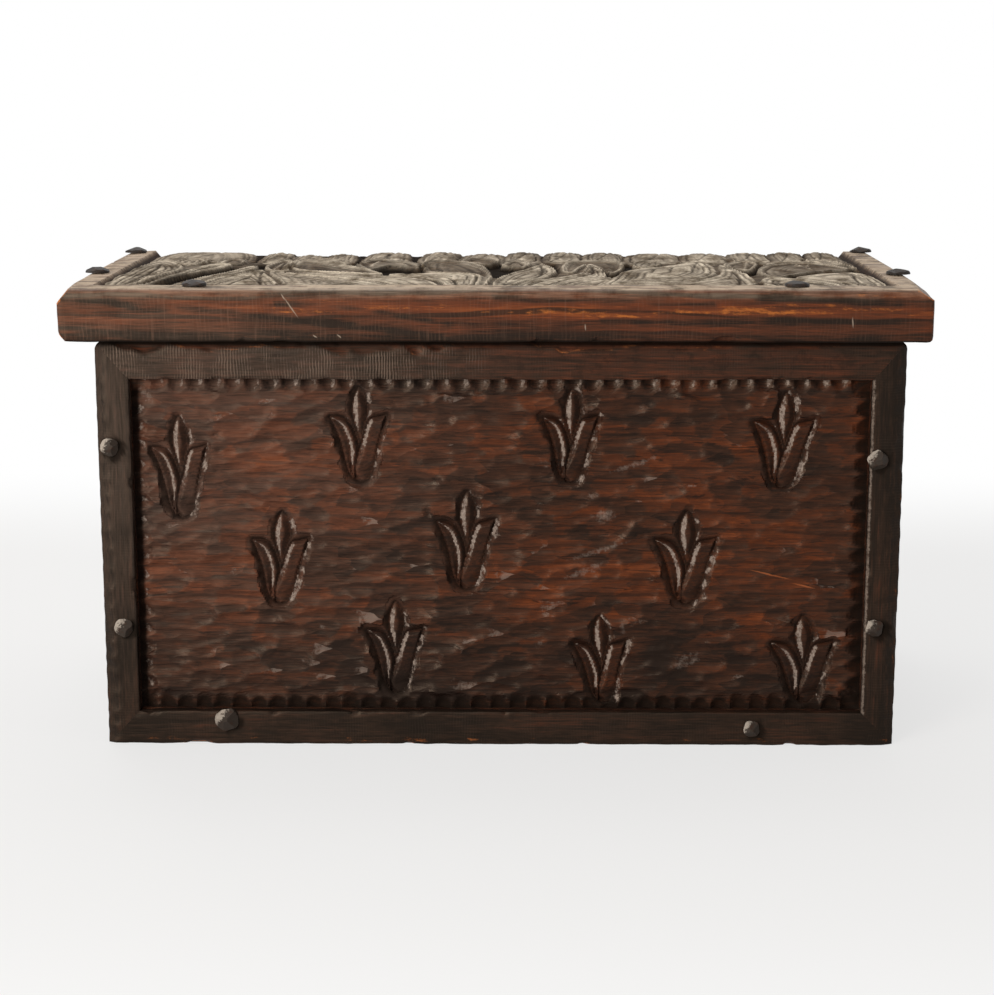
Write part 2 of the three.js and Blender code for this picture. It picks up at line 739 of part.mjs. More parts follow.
// The back board's nails run into the side boards' ends, the bottom's into its back and side edges.
const boardNail = { group: body, head: boardNailHead, length: boardNailLength, shank: shankWidth };
const backNailHeightShares = { upper: 0.8, lower: 0.25 };
const bottomNailShare = 0.25; // of the body's length, from its middle
const sideNailShares = { front: 0.25, rear: 0.75 }; // of a side board's length, from its front end
for (const side of ["left", "right"]) {
  const sign = side === "left" ? -1 : 1;
  const board = side + "_side_board";
  const middleOfSide = sign * (bodyLength / 2 - sideThickness / 2);
  const middleOfBottom = bottomLift + bottomThickness / 2;
  for (const [level, up] of Object.entries(backNailHeightShares)) {
    driveNail({
      ...boardNail,
      name: "back_" + side + "_" + level + "_nail",
      at: new THREE.Vector3(middleOfSide, bodyDepth, up * bodyHeight),
      outward: towardBack,
      through: ["back_board", board],
    });
  }
  driveNail({
    ...boardNail,
    name: "back_bottom_" + side + "_nail",
    at: new THREE.Vector3(sign * bottomNailShare * bodyLength, bodyDepth, middleOfBottom),
    outward: towardBack,
    through: ["back_board", "bottom_board"],
  });
  for (const [end, share] of Object.entries(sideNailShares)) {
    const y = sideFrontY + share * (sideBackY - sideFrontY);
    driveNail({
      ...boardNail,
      name: side + "_side_" + end + "_nail",
      at: new THREE.Vector3((sign * bodyLength) / 2, y, middleOfBottom),
      outward: new THREE.Vector3(sign, 0, 0),
      through: [board, "bottom_board"],
    });
  }
}

// Two small nails hold each hinge leaf.
const hingeNail = {
  outward: towardBack,
  head: hingeNailHead,
  length: hingeNailLength,
  shank: hingeShankWidth,
};
for (const { name, x } of hinges) {
  [-1, 1].forEach((sign) => {
    const offset = sign * (hingeWidth / 2 - hingeNailInset);
    const end = sign < 0 ? "_left_nail" : "_right_nail";
    const proud = boardGap + leafPlateThickness;
    driveNail({
      ...hingeNail,
      name: name + "_body" + end,
      group: body,
      at: new THREE.Vector3(x - lidLeftShift + offset, bodyDepth + proud, bodyHeight - hingeNailDrop),
      through: [name + "_body_leaf", "back_board"],
    });
    driveNail({
      ...hingeNail,
      name: name + "_lid" + end,
      group: lid,
      at: new THREE.Vector3(x + offset, lidDepth + proud, hingeNailDrop),
      through: [name + "_lid_leaf", "lid_plank"],
    });
  });
}

for (const [name, { group, solid, colour, metalness }] of pieces) {
  const roughness = metalness ? 0.55 : 0.5;
  const material = new THREE.MeshStandardMaterial({ color: colour, roughness, metalness });
  const mesh = new THREE.Mesh(geometryOf(solid), material);
  mesh.name = name;
  group.add(mesh);
}

const chest = new THREE.Group();
chest.add(body, lid);

export default chest;
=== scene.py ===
import json
from math import cos, pi, radians, sin

import bmesh
import bpy
import numpy as np
from mathutils import Matrix, Vector


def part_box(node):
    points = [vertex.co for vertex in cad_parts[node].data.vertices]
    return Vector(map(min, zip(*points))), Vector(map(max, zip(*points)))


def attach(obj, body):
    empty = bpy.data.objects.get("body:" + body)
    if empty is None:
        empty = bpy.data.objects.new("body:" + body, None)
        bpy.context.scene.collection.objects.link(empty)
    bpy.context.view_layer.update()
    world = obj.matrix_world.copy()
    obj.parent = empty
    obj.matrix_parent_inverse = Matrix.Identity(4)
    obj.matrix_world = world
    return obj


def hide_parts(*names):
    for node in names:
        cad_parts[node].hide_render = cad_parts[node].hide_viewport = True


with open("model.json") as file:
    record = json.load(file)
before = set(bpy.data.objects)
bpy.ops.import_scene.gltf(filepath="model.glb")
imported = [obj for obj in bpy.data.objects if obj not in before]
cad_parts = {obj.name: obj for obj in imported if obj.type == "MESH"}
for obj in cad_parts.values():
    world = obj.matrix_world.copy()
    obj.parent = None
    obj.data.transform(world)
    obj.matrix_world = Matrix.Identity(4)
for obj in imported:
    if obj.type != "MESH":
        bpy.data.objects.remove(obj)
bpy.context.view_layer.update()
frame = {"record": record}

mm = 0.001


def nodeBox(name):
    low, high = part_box(name)
    return np.array(low) / mm, np.array(high) / mm


frontLow, frontHigh = nodeBox("front_board")
lidLow, lidHigh = nodeBox("lid_plank")
bodyMiddle = (frontLow[0] + frontHigh[0]) / 2
faceY = frontLow[1]  # the carved board's face

# Camera, floor and lights

cameraView = {
    "place": (14.7, -1411.8, 430.9),  # mm
    "pitchDown": 11.806,
    "turn": 0.6,
    "focalPixels": 2123.5,
    "framePixels": 995,
    "sensor": 36.0,
}


def addCamera(view):
    data = bpy.data.cameras.new("camera")
    data.sensor_width = view["sensor"]
    data.lens = view["focalPixels"] * view["sensor"] / view["framePixels"]
    data.clip_end = 50
    camera = bpy.data.objects.new("camera", data)
    camera.location = Vector(view["place"]) * mm
    camera.rotation_euler = (radians(90 - view["pitchDown"]), 0, radians(view["turn"]))
    bpy.context.scene.collection.objects.link(camera)
    bpy.context.scene.camera = camera


lamps = {
    "windowLeft": {"place": (-1.3, -1.75, 0.62), "size": 0.95, "power": 40, "colour": (1, 0.95, 0.87)},
    "roomFront": {"place": (-0.9, -2.4, 1.5), "size": 1.5, "power": 18, "colour": (1, 0.96, 0.9)},
    "overhead": {"place": (-0.3, 1.2, 2.2), "size": 1.6, "power": 24, "colour": (1, 1, 1)},
}
lampTarget = Vector((0, 0, 0.15))
worldLight = {
    "front": 0.1,
    "back": 0.75,
    "turns": (-0.25, 0.35),
    "seen": 1.0,
    "warm": (1, 0.955, 0.89),
    "white": (1, 1, 1),
}
floorLook = {"size": 6, "albedo": 0.55, "shadowReach": (0.36, 0.8), "keep": 0.32}


def addLamps():
    for name, lamp in lamps.items():
        data = bpy.data.lights.new(name, "AREA")
        data.shape = "SQUARE"
        data.size = lamp["size"]
        data.energy = lamp["power"]
        data.color = lamp["colour"]
        light = bpy.data.objects.new(name, data)
        light.location = lamp["place"]
        aim = lampTarget - light.location
        light.rotation_euler = aim.to_track_quat("-Z", "Y").to_euler()
        bpy.context.scene.collection.objects.link(light)


# Shader maths: a signal is one output socket, and an expression on signals adds its Math nodes.


class Signal:
    def __init__(self, tree, socket=None):
        self.tree = tree
        self.socket = socket

    def add(self, kind, settings=None, inputs=None, output=0):
        node = self.tree.nodes.new(kind)
        for name, value in (settings or {}).items():
            if name == "stops":
                fillRamp(node.color_ramp, value)
            else:
                setattr(node, name, value)
        for key, value in (inputs or {}).items():
            if isinstance(value, Signal):
                self.tree.links.new(value.socket, node.inputs[key])
            else:
                node.inputs[key].default_value = value
        return Signal(self.tree, node.outputs[output])

    def combine(self, operation, *values, clamp=False):
        settings = {"operation": operation, "use_clamp": clamp}
        return self.add("ShaderNodeMath", settings, dict(enumerate(values)))

    def __add__(self, other):
        return self.combine("ADD", self, other)

    def __radd__(self, other):
        return self.combine("ADD", other, self)

    def __sub__(self, other):
        return self.combine("SUBTRACT", self, other)

    def __rsub__(self, other):
        return self.combine("SUBTRACT", other, self)

    def __mul__(self, other):
        return self.combine("MULTIPLY", self, other)

    def __rmul__(self, other):
        return self.combine("MULTIPLY", other, self)

    def __pow__(self, power):
        return self.combine("POWER", self, power)

    def within(self):
        return self.combine("ADD", self, 0, clamp=True)

    def wave(self):
        return self.combine("SINE", self)

    def size(self):
        return self.combine("ABSOLUTE", self)

    def ramp(self, low, high):
        settings = {"interpolation_type": "SMOOTHSTEP"}
        return self.add("ShaderNodeMapRange", settings, {0: self, 1: low, 2: high, 3: 0.0, 4: 1.0})

    def part(self, axis):
        return self.add("ShaderNodeSeparateXYZ", None, {0: self}, output="XYZ".index(axis))

    def scaled(self, stretch):
        return self.add("ShaderNodeMapping", None, {"Vector": self, "Scale": stretch})

    def noise(self, scale, detail=3.0, roughness=0.55, distortion=0.0):
        inputs = {"Vector": self, "Scale": scale, "Detail": detail, "Roughness": roughness}
        return self.add("ShaderNodeTexNoise", None, {**inputs, "Distortion": distortion})

    def cells(self, scale, output=0):
        return self.add("ShaderNodeTexVoronoi", {"feature": "F1"}, {"Vector": self, "Scale": scale}, output)

    def moved(self, scale, reach):
        # The same vector, pushed about by noise.
        push = self.add("ShaderNodeTexNoise", None, {"Vector": self, "Scale": scale, "Detail": 2.0}, output=1)
        inputs = {0: push, 1: (reach,) * 3, 2: self}
        return self.add("ShaderNodeVectorMath", {"operation": "MULTIPLY_ADD"}, inputs)


def fillRamp(ramp, stops):
    while len(ramp.elements) > 1:
        ramp.elements.remove(ramp.elements[-1])
    ramp.elements[0].position = stops[0][0]
    ramp.elements[0].color = (*stops[0][1], 1)
    for position, colour in stops[1:]:
        element = ramp.elements.new(position)
        element.color = (*colour, 1)


def opaque(colour):
    return (*colour, 1)


def blendColours(factor, first, second):
    colours = [value if isinstance(value, Signal) else opaque(value) for value in (first, second)]
    inputs = {0: factor, 6: colours[0], 7: colours[1]}
    return factor.add("ShaderNodeMix", {"data_type": "RGBA"}, inputs, output=2)


shaderSockets = {
    "colour": "Base Color",
    "roughness": "Roughness",
    "metallic": "Metallic",
    "specular": "Specular IOR Level",
    "tint": "Specular Tint",
}


class Finish:
    def __init__(self, name):
        self.material = bpy.data.materials.new(name)
        self.material.use_nodes = True
        self.tree = self.material.node_tree
        self.shader = self.tree.nodes["Principled BSDF"]
        self.start = Signal(self.tree)
        self.place = self.start.add("ShaderNodeTexCoord", output=3)

    def attribute(self, name):
        return self.start.add("ShaderNodeAttribute", {"attribute_name": name}, output=2)

    def set(self, **sockets):
        for key, value in sockets.items():
            socket = self.shader.inputs[shaderSockets[key]]
            if isinstance(value, Signal):
                self.tree.links.new(value.socket, socket)
            else:
                socket.default_value = value

    def bump(self, height, depth, strength=1.0):
        inputs = {"Height": height, "Distance": depth, "Strength": strength}
        normal = self.start.add("ShaderNodeBump", None, inputs)
        self.tree.links.new(normal.socket, self.shader.inputs["Normal"])


# Numbers for the carving, worked out on whole arrays of points in millimetres


def latticeValue(column, row, seed):
    mixed = (column * 73856093) ^ (row * 19349663) ^ (seed * 83492791)
    mixed = ((mixed ^ (mixed >> 13)) * 1274126177) & 0x7FFFFFFF
    mixed = ((mixed ^ (mixed >> 15)) * 73244475) & 0x7FFFFFFF
    return ((mixed >> 7) & 0xFFFF) / 32767.5 - 1


def softNoise(x, y, seed=0):
    x, y = np.broadcast_arrays(np.asarray(x, float), np.asarray(y, float))
    column, row = np.floor(x).astype(np.int64), np.floor(y).astype(np.int64)
    across, up = x - column, y - row
    across = across * across * (3 - 2 * across)
    up = up * up * (3 - 2 * up)
    low = latticeValue(column, row, seed) * (1 - across) + latticeValue(column + 1, row, seed) * across
    high = latticeValue(column, row + 1, seed) * (1 - across)
    high = high + latticeValue(column + 1, row + 1, seed) * across
    return low * (1 - up) + high * up


def layeredNoise(x, y, seed=0, layers=3):
    total = 0
    for layer in range(layers):
        scale = 2**layer
        total = total + softNoise(x * scale, y * scale, seed + layer) / scale
    return total


def smoothStep(value, low, high):
    t = np.clip((value - low) / (high - low), 0, 1)
    return t * t * (3 - 2 * t)


def bell(value, width):
    return np.exp(-((value / width) ** 2))


def gougeField(x, y, look):
    # Shallow overlapping scoops: the lowest cut is the surface, and where two cuts meet there is a crest.
    # Each cut has a tone of its own, as the stain takes differently on it.
    random = np.random.default_rng(look["seed"])
    lowest = np.full(x.shape, 9.0)
    second = np.full(x.shape, 9.0)
    tone = np.zeros(x.shape)
    rowPitch, run = look["rowPitch"], look["run"]
    for row in np.arange(y.min() - rowPitch, y.max() + rowPitch, rowPitch):
        for along in np.arange(x.min() - run, x.max() + run, run):
            cutX = along + random.uniform(-0.5, 0.5) * run
            cutY = row + random.uniform(-0.5, 0.5) * rowPitch
            turn = radians(random.normal(0, look["tilt"]))
            depth = random.uniform(*look["depth"])
            sweep = random.uniform(*look["sweep"])
            length = random.uniform(*look["length"])
            stop = random.uniform(*look["stop"])
            lean = random.normal(0, look["lean"])
            rise = random.normal(0, look["rise"])
            near = (np.abs(x - cutX) < run * 2) & (np.abs(y - cutY) < rowPitch * 2.4)
            dx, dy = x[near] - cutX, y[near] - cutY
            alongCut = dx * cos(turn) + dy * sin(turn)
            acrossCut = dy * cos(turn) - dx * sin(turn)
            cut = acrossCut**2 / (2 * sweep) - depth
            cut = cut + alongCut**2 / (2 * np.where(alongCut < 0, length, stop))
            cut = cut + lean * acrossCut + rise * np.clip(alongCut, -9, 9)
            second[near] = np.minimum(second[near], np.maximum(lowest[near], cut))
            tone[near] = np.where(cut < lowest[near], random.uniform(-1, 1), tone[near])
            lowest[near] = np.minimum(lowest[near], cut)
    return lowest, second - lowest, tone


def pathDistance(x, y, points, closed=False):
    # Distance to a path, and the way to its nearest point.
    points = np.asarray(points, float)
    following = np.roll(points, -1, axis=0) if closed else points[1:]
    best = np.full(x.shape, 1e9)
    wayX, wayY = np.zeros(x.shape), np.zeros(x.shape)
    for (ax, ay), (bx, by) in zip(points, following):
        ex, ey = bx - ax, by - ay
        t = np.clip(((x - ax) * ex + (y - ay) * ey) / (ex * ex + ey * ey + 1e-12), 0, 1)
        dx, dy = ax + t * ex - x, ay + t * ey - y
        distance = np.hypot(dx, dy)
        nearer = distance < best
        best = np.where(nearer, distance, best)
        wayX, wayY = np.where(nearer, dx, wayX), np.where(nearer, dy, wayY)
    return best, wayX, wayY


def insideOutline(x, y, points):
    inside = np.zeros(x.shape, bool)
    for (ax, ay), (bx, by) in zip(points, np.roll(points, -1, axis=0)):
        if ay != by:
            inside ^= ((ay > y) != (by > y)) & (x < ax + (y - ay) * (bx - ax) / (by - ay))
    return inside


def roundedPath(points, rounds=2):
    # Cuts the corners of an open path and keeps its two ends.
    points = np.asarray(points, float)
    for _ in range(rounds):
        near = points[:-1] * 0.75 + points[1:] * 0.25
        far = points[:-1] * 0.25 + points[1:] * 0.75
        middle = np.stack([near, far], axis=1).reshape(-1, 2)[1:-1]
        points = np.concatenate([points[:1], middle, points[-1:]])
    return points


def within(x, y, points, margin):
    low, high = points.min(0) - margin, points.max(0) + margin
    return (x > low[0]) & (x < high[0]) & (y > low[1]) & (y < high[1])


# Meshes


def newMesh(name, bm):
    mesh = bpy.data.meshes.new(name)
    bm.to_mesh(mesh)
    bm.free()
    return mesh


def meshPoints(mesh):
    flat = np.empty(len(mesh.vertices) * 3, np.float32)
    mesh.vertices.foreach_get("co", flat)
    return flat.reshape(-1, 3).astype(float)


def meshNormals(mesh):
    flat = np.empty(len(mesh.vertices) * 3, np.float32)
    mesh.vertex_normals.foreach_get("vector", flat)
    return flat.reshape(-1, 3).astype(float)


def setMeshPoints(mesh, points):
    mesh.vertices.foreach_set("co", points.astype(np.float32).ravel())
    mesh.update()


def setMarks(mesh, marks):
    # The marks are what the finishes read from a mesh, point by point.
    for name, values in marks.items():
        layer = mesh.attributes.new(name, "FLOAT", "POINT")
        layer.data.foreach_set("value", np.asarray(values, np.float32))


def addPiece(name, mesh, body, finish, replaced, crease=35):
    mesh.materials.append(finish)
    mesh.polygons.foreach_set("use_smooth", [True] * len(mesh.polygons))
    mesh.set_sharp_from_angle(angle=radians(crease))
    piece = bpy.data.objects.new(name, mesh)
    bpy.context.scene.collection.objects.link(piece)
    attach(piece, body)
    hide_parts(replaced)


def pick(geometry, kind):
    return [part for part in geometry if isinstance(part, kind)]


def faceOut(bm):
    bmesh.ops.recalc_face_normals(bm, faces=bm.faces[:])


def placeShape(bm, point, turn=Matrix.Identity(4)):
    matrix = Matrix.Scale(mm, 4) @ Matrix.Translation(Vector(point)) @ turn
    bmesh.ops.transform(bm, matrix=matrix, verts=bm.verts[:])


def boxMesh(low, high):
    bm = bmesh.new()
    middle = (Vector(low) + Vector(high)) / 2
    size = Vector(high) - Vector(low)
    bmesh.ops.create_cube(bm, size=1, matrix=Matrix.Translation(middle) @ Matrix.Diagonal((*size, 1)))
    return bm


def blankBoard(low, high, cells, rounding, along=None):
    # A board with rounded arrises, or only its long ones, divided evenly along its three axes.
    bm = boxMesh(low, high)
    arrises = bm.edges[:]
    if along is not None:
        arrises = [e for e in arrises if abs(e.verts[0].co[along] - e.verts[1].co[along]) > 1]
    bmesh.ops.bevel(
        bm, geom=arrises, offset=rounding, segments=2, profile=0.5, affect="EDGES", material=-1
    )
    for axis in range(3):
        span = high[axis] - low[axis]
        cuts = round(span / cells[axis]) - 1
        if cuts > 0:
            long = [e for e in bm.edges if abs(e.verts[0].co[axis] - e.verts[1].co[axis]) > span / 2]
            bmesh.ops.subdivide_edges(bm, edges=long, cuts=cuts, use_grid_fill=True)
    return bm


def cutAcross(bm, point, normal, remove=False):
    geometry = bm.verts[:] + bm.edges[:] + bm.faces[:]
    cut = bmesh.ops.bisect_plane(
        bm, geom=geometry, dist=1e-5, plane_co=point, plane_no=normal, clear_outer=remove
    )
    if remove:
        bmesh.ops.holes_fill(bm, edges=pick(cut["geom_cut"], bmesh.types.BMEdge), sides=0)


def wearBoard(points, low, high, look, mitred=None):
    # Planed faces stay a little uneven, and the arrises lose chips; returns how worn each point is.
    low, high = np.asarray(low, float), np.asarray(high, float)
    x, y, z = points.T
    seed = look["seed"]
    chips = layeredNoise(x / look["chip"] + y / 17, z / look["chip"] + y / 23, seed)
    loss = look["wear"] * (0.35 + 0.3 * chips) + look["chipDepth"] * smoothStep(chips, 0.45, 0.95)
    nearness = []
    for axis in range(3):
        for side, edge in ((1, low), (-1, high)):
            distance = np.abs(points[:, axis] - edge[axis])
            near = bell(distance, look["reach"]) * (axis != mitred)
            nearness.append((axis, side, near, distance))
    moved = points.copy()
    worn = np.zeros(len(points))
    for axis, side, near, distance in nearness:
        others = [item for item in nearness if item[0] != axis]
        beside = np.max([item[2] for item in others], axis=0)
        moved[:, axis] += side * loss * near * beside
        worn = np.maximum(worn, near * beside * (0.55 + 0.45 * chips))
        a, b = [points[:, i] for i in range(3) if i != axis]
        rough = layeredNoise(a / look["wave"], b / look["wave"] + 3.7 * axis, seed + axis, 2)
        onFace = (distance < 0.01) & (beside < 0.5)
        moved[:, axis] += np.where(onFace, side * look["uneven"] * (0.5 + 0.5 * rough), 0)
    return moved, worn


def roundEdge(points, firstAxis, firstFace, secondAxis, secondFace, radius):
    # Rounds the arris where two faces meet; a face is its place and the way into the wood.
    inFirst = (points[:, firstAxis] - firstFace[0]) * firstFace[1]
    inSecond = (points[:, secondAxis] - secondFace[0]) * secondFace[1]
    radius = np.broadcast_to(radius, inFirst.shape)
    fromFirst, fromSecond = radius - inFirst, radius - inSecond
    length = np.hypot(fromFirst, fromSecond)
    shrink = np.where((fromFirst > 0) & (fromSecond > 0) & (length > radius), radius / (length + 1e-9), 1)
    points[:, firstAxis] = firstFace[0] + firstFace[1] * (radius - fromFirst * shrink)
    points[:, secondAxis] = secondFace[0] + secondFace[1] * (radius - fromSecond * shrink)
    return points


def cutEdge(points, firstAxis, firstFace, secondAxis, secondFace, firstWidth, secondWidth):
    # Cuts the arris off flat; returns too how near each point is to the two new edges.
    inFirst = (points[:, firstAxis] - firstFace[0]) * firstFace[1]
    inSecond = (points[:, secondAxis] - secondFace[0]) * secondFace[1]
    share = inFirst / firstWidth + inSecond / secondWidth
    short = np.clip(1 - share, 0, 1) / 2
    points[:, firstAxis] += firstFace[1] * short * firstWidth
    points[:, secondAxis] += secondFace[1] * short * secondWidth
    return points, bell(share - 0.9, 0.35)


# Wood

plainWood = {"specular": 0.16, "hair": 0, "cutTone": 0.1, "facets": None, "mottled": 0, "chatter": 0}
woodLooks = {
    "carvedFront": {
        **plainWood,
        "patchy": 2.3,
        "streaks": 0.68,
        "sheen": (0.24, 0.192, 0.166),
        "relief": 0.9,
        "sway": 0.02,
        "mottle": 60,
        "mottled": 0.15,
        "dark": (0.009, 0.0048, 0.0038),
        "middle": (0.037, 0.0142, 0.0082),
        "warm": (0.077, 0.0205, 0.008),
        "bright": (0.145, 0.036, 0.011),
        "worn": (0.26, 0.075, 0.026),
        "filmAndSheen": (0.1, 0.068, 0.056),
        "contrast": 0.58,
        "cutTone": 0.14,
        "facets": (34, 1, 150),
        "roughness": (0.27, 0.5),
        "patch": 16,
        "streak": (14, 180, 180),
        "pith": (-0.02, 0.55),
        "ringPitch": 0.0105,
        "ringBend": 0.03,
        "ringShade": 0.5,
    },
    "frame": {
        **plainWood,
        "patchy": 2.3,
        "streaks": 0.8,
        "relief": 0.5,
        "sway": 0.002,
        "mottle": 120,
        "mottled": 0.45,
        "sheen": (0.16, 0.125, 0.105),
        "dark": (0.0062, 0.0042, 0.0033),
        "middle": (0.0225, 0.0123, 0.0084),
        "warm": (0.047, 0.0168, 0.0098),
        "bright": (0.085, 0.025, 0.0115),
        "contrast": 0.8,
        "scratch": (0.15, 0.108, 0.085),
        "scratches": 0.15,
        "worn": (0.3, 0.095, 0.028),
        "filmAndSheen": (0.08, 0.062, 0.051),
        "roughness": (0.3, 0.55),
        "patch": 12,
        "streak": (24, 230, 230),
        "pith": (0.05, 0.05),
        "ringPitch": 0.004,
        "ringBend": 0.01,
        "ringShade": 0.4,
        "chatter": 0.00175,
        "drift": 14,
    },
    "lid": {
        **plainWood,
        "patchy": 1.9,
        "hair": 0.75,
        "streaks": 1.1,
        "relief": 0.5,
        "sway": 0.004,
        "mottle": 70,
        "sheen": (0.3, 0.24, 0.19),
        "dark": (0.012, 0.008, 0.0065),
        "middle": (0.058, 0.0205, 0.0115),
        "warm": (0.105, 0.0285, 0.0125),
        "bright": (0.185, 0.05, 0.0155),
        "worn": (0.37, 0.115, 0.026),
        "filmAndSheen": (0.48, 0.38, 0.285),
        "shadow": (0.1, 0.075, 0.047),
        "contrast": 0.65,
        "scratch": (0.18, 0.098, 0.066),
        "scratches": 1.5,
        "roughness": (0.3, 0.5),
        "patch": 10,
        "streak": (16, 210, 210),
        "pith": (-0.09, 0.2),
        "ringPitch": 0.0105,
        "ringBend": 0.03,
        "ringShade": 0.85,
        "chatter": 0.0024,
        "drift": 16,
    },
    "board": {
        **plainWood,
        "patchy": 1.5,
        "streaks": 0.85,
        "relief": 0.6,
        "sway": 0.012,
        "mottle": 45,
        "mottled": 0.3,
        "sheen": (0.2, 0.16, 0.14),
        "contrast": 0.85,
        "dark": (0.012, 0.0065, 0.005),
        "middle": (0.042, 0.0165, 0.0095),
        "warm": (0.085, 0.029, 0.0135),
        "bright": (0.13, 0.045, 0.018),
        "worn": (0.26, 0.1, 0.035),
        "filmAndSheen": (0.145, 0.09, 0.054),
        "roughness": (0.42, 0.68),
        "patch": 8,
        "streak": (7, 150, 150),
        "pith": (-0.04, 0.16),
        "ringPitch": 0.0115,
        "ringBend": 0.05,
        "ringShade": 0.65,
    },
}
woodLooks["foliage"] = {
    **woodLooks["lid"],
    "patchy": 0.7,
    "filmAndSheen": (0.72, 0.63, 0.51),
    "shadow": (0.17, 0.135, 0.095),
    "hair": 0.45,
    "cutTone": 0.12,
    "specular": 0.04,
    "roughness": (0.75, 0.95),
    "mottled": 0.45,
    "middle": (0.05, 0.03, 0.018),
    "warm": (0.08, 0.048, 0.027),
    "bright": (0.13, 0.08, 0.045),
}
# The longer scratches on the lid's front, in x and z
woodLooks["lid"]["strokes"] = [
    {"from": start, "to": end, "width": 1.1, "front": lidLow[1] + 3, "strength": 0.8, "colour": "sheen"}
    for start, end in [
        ((-128, 288), (-118.3, 273.5)), ((-129.5, 289.5), (-126.5, 285)), ((-110.5, 264.4), (-107.5, 262.2)),
        ((-95.8, 264.8), (-92.8, 262)), ((54.5, 271.5), (54.9, 266.5)), ((215.6, 276), (216.4, 268)),
    ]
]
# How close each pattern lies, per metre, along the grain and twice across it
woodPatterns = {
    "fibre": (55, 1000, 1000),
    "patch": (0.6, 1, 1),
    "ringBend": (4, 9, 9),
    "darkLine": (11, 520, 520),
    "rub": (110, 380, 380),
    "chatterPatch": (80, 70, 70),
    "scratch": (750, 26, 26),
}
toneStops = (0.24, 0.47, 0.66, 0.84)  # dark, middle, warm and bright wood
glossTint = (1, 0.76, 0.58, 1)
grainOrders = {"X": (0, 1, 2), "Y": (1, 0, 2), "Z": (2, 1, 0)}


def alongGrain(place, along, stretch):
    stretch = woodPatterns.get(stretch, stretch)
    return place.scaled(tuple(stretch[i] for i in grainOrders[along]))


def growthRings(place, look, along):
    # Distance from the middle of the tree, bent by slow noise, as waves.
    across = [axis for axis in "XYZ" if axis != along]
    first, second = [place.part(axis) - centre for axis, centre in zip(across, look["pith"])]
    radius = (first * first + second * second) ** 0.5
    bend = alongGrain(place, along, "ringBend").noise(1.0, 3.0, 0.5) - 0.5
    return ((radius + bend * look["ringBend"]) * (2 * pi / look["ringPitch"])).wave()


broad = 2  # mm: wider strokes are ragged scrapes, narrower ones clean scratches


def drawStroke(finish, stroke, look, colour):
    # One scratch on a board's front, from point to point; its width and the front's place are in millimetres.
    start, end = np.array(stroke["from"]), np.array(stroke["to"])
    middle, size = (start + end) / 2 * mm, np.hypot(*(end - start))
    dx, dz = (end - start) / size
    x, z = finish.place.part("X") - middle[0], finish.place.part("Z") - middle[1]
    across = (z * dx - x * dz) * (2 / stroke["width"] / mm) + finish.place.noise(600) - 0.5
    inside = 1 - ((x * dx + z * dz) * (2 / size / mm)) ** 2 - across * across
    if stroke["width"] > broad:
        inside = inside * 0.9 + (finish.place.noise(330, 4.0, 0.75) - 0.5) * 3.2 - 0.3
    front = (stroke["front"] * mm - finish.place.part("Y")).ramp(0, 0.5 * mm)
    return blendColours(inside.ramp(0, 1.1) * front * stroke["strength"], colour, look[stroke["colour"]])


def gougeShades(finish, look):
    # Each gouge cut is a shallow dish: its own tone, painted shading that runs from dark on its left to light
    # on its right as if lit from the left, and its hollow.
    bent = finish.place.moved(55, 0.009).scaled(look["facets"])
    hollow = finish.attribute("facet") * (bent.cells(1.0) ** 2)
    own = finish.attribute("facet") * (bent.cells(1.0, 1).part("X") - 0.5)
    lean = finish.attribute("facet") * (bent.part("X") - bent.cells(1.0, 2).part("X"))
    return own, lean * finish.place.noise(28, 2.0, 0.5).ramp(0.35, 0.65), hollow


def toolChatter(finish, look, along, colour):
    # Fine ripples that the plane left across the grain, and short scratches; returns the ripples too.
    place = finish.place
    ripple = place.part(along) * (2 * pi / look["chatter"]) + place.noise(45, 3.0, 0.6) * look["drift"]
    uneven = alongGrain(place, along, "chatterPatch").noise(1.0, 4.0, 0.65).ramp(0.36, 0.7)
    ripple = ripple.wave().ramp(0.1, 1.0) * uneven * finish.attribute("chatter")
    colour = blendColours(ripple, colour, look["scratch"])
    scratches = alongGrain(place, along, "scratch").noise(1.0, 3.0, 0.65).ramp(0.55, 0.72)
    scratches = scratches * finish.attribute("chatter") * look["scratches"]
    return blendColours(scratches.within(), colour, look["scratch"]), ripple


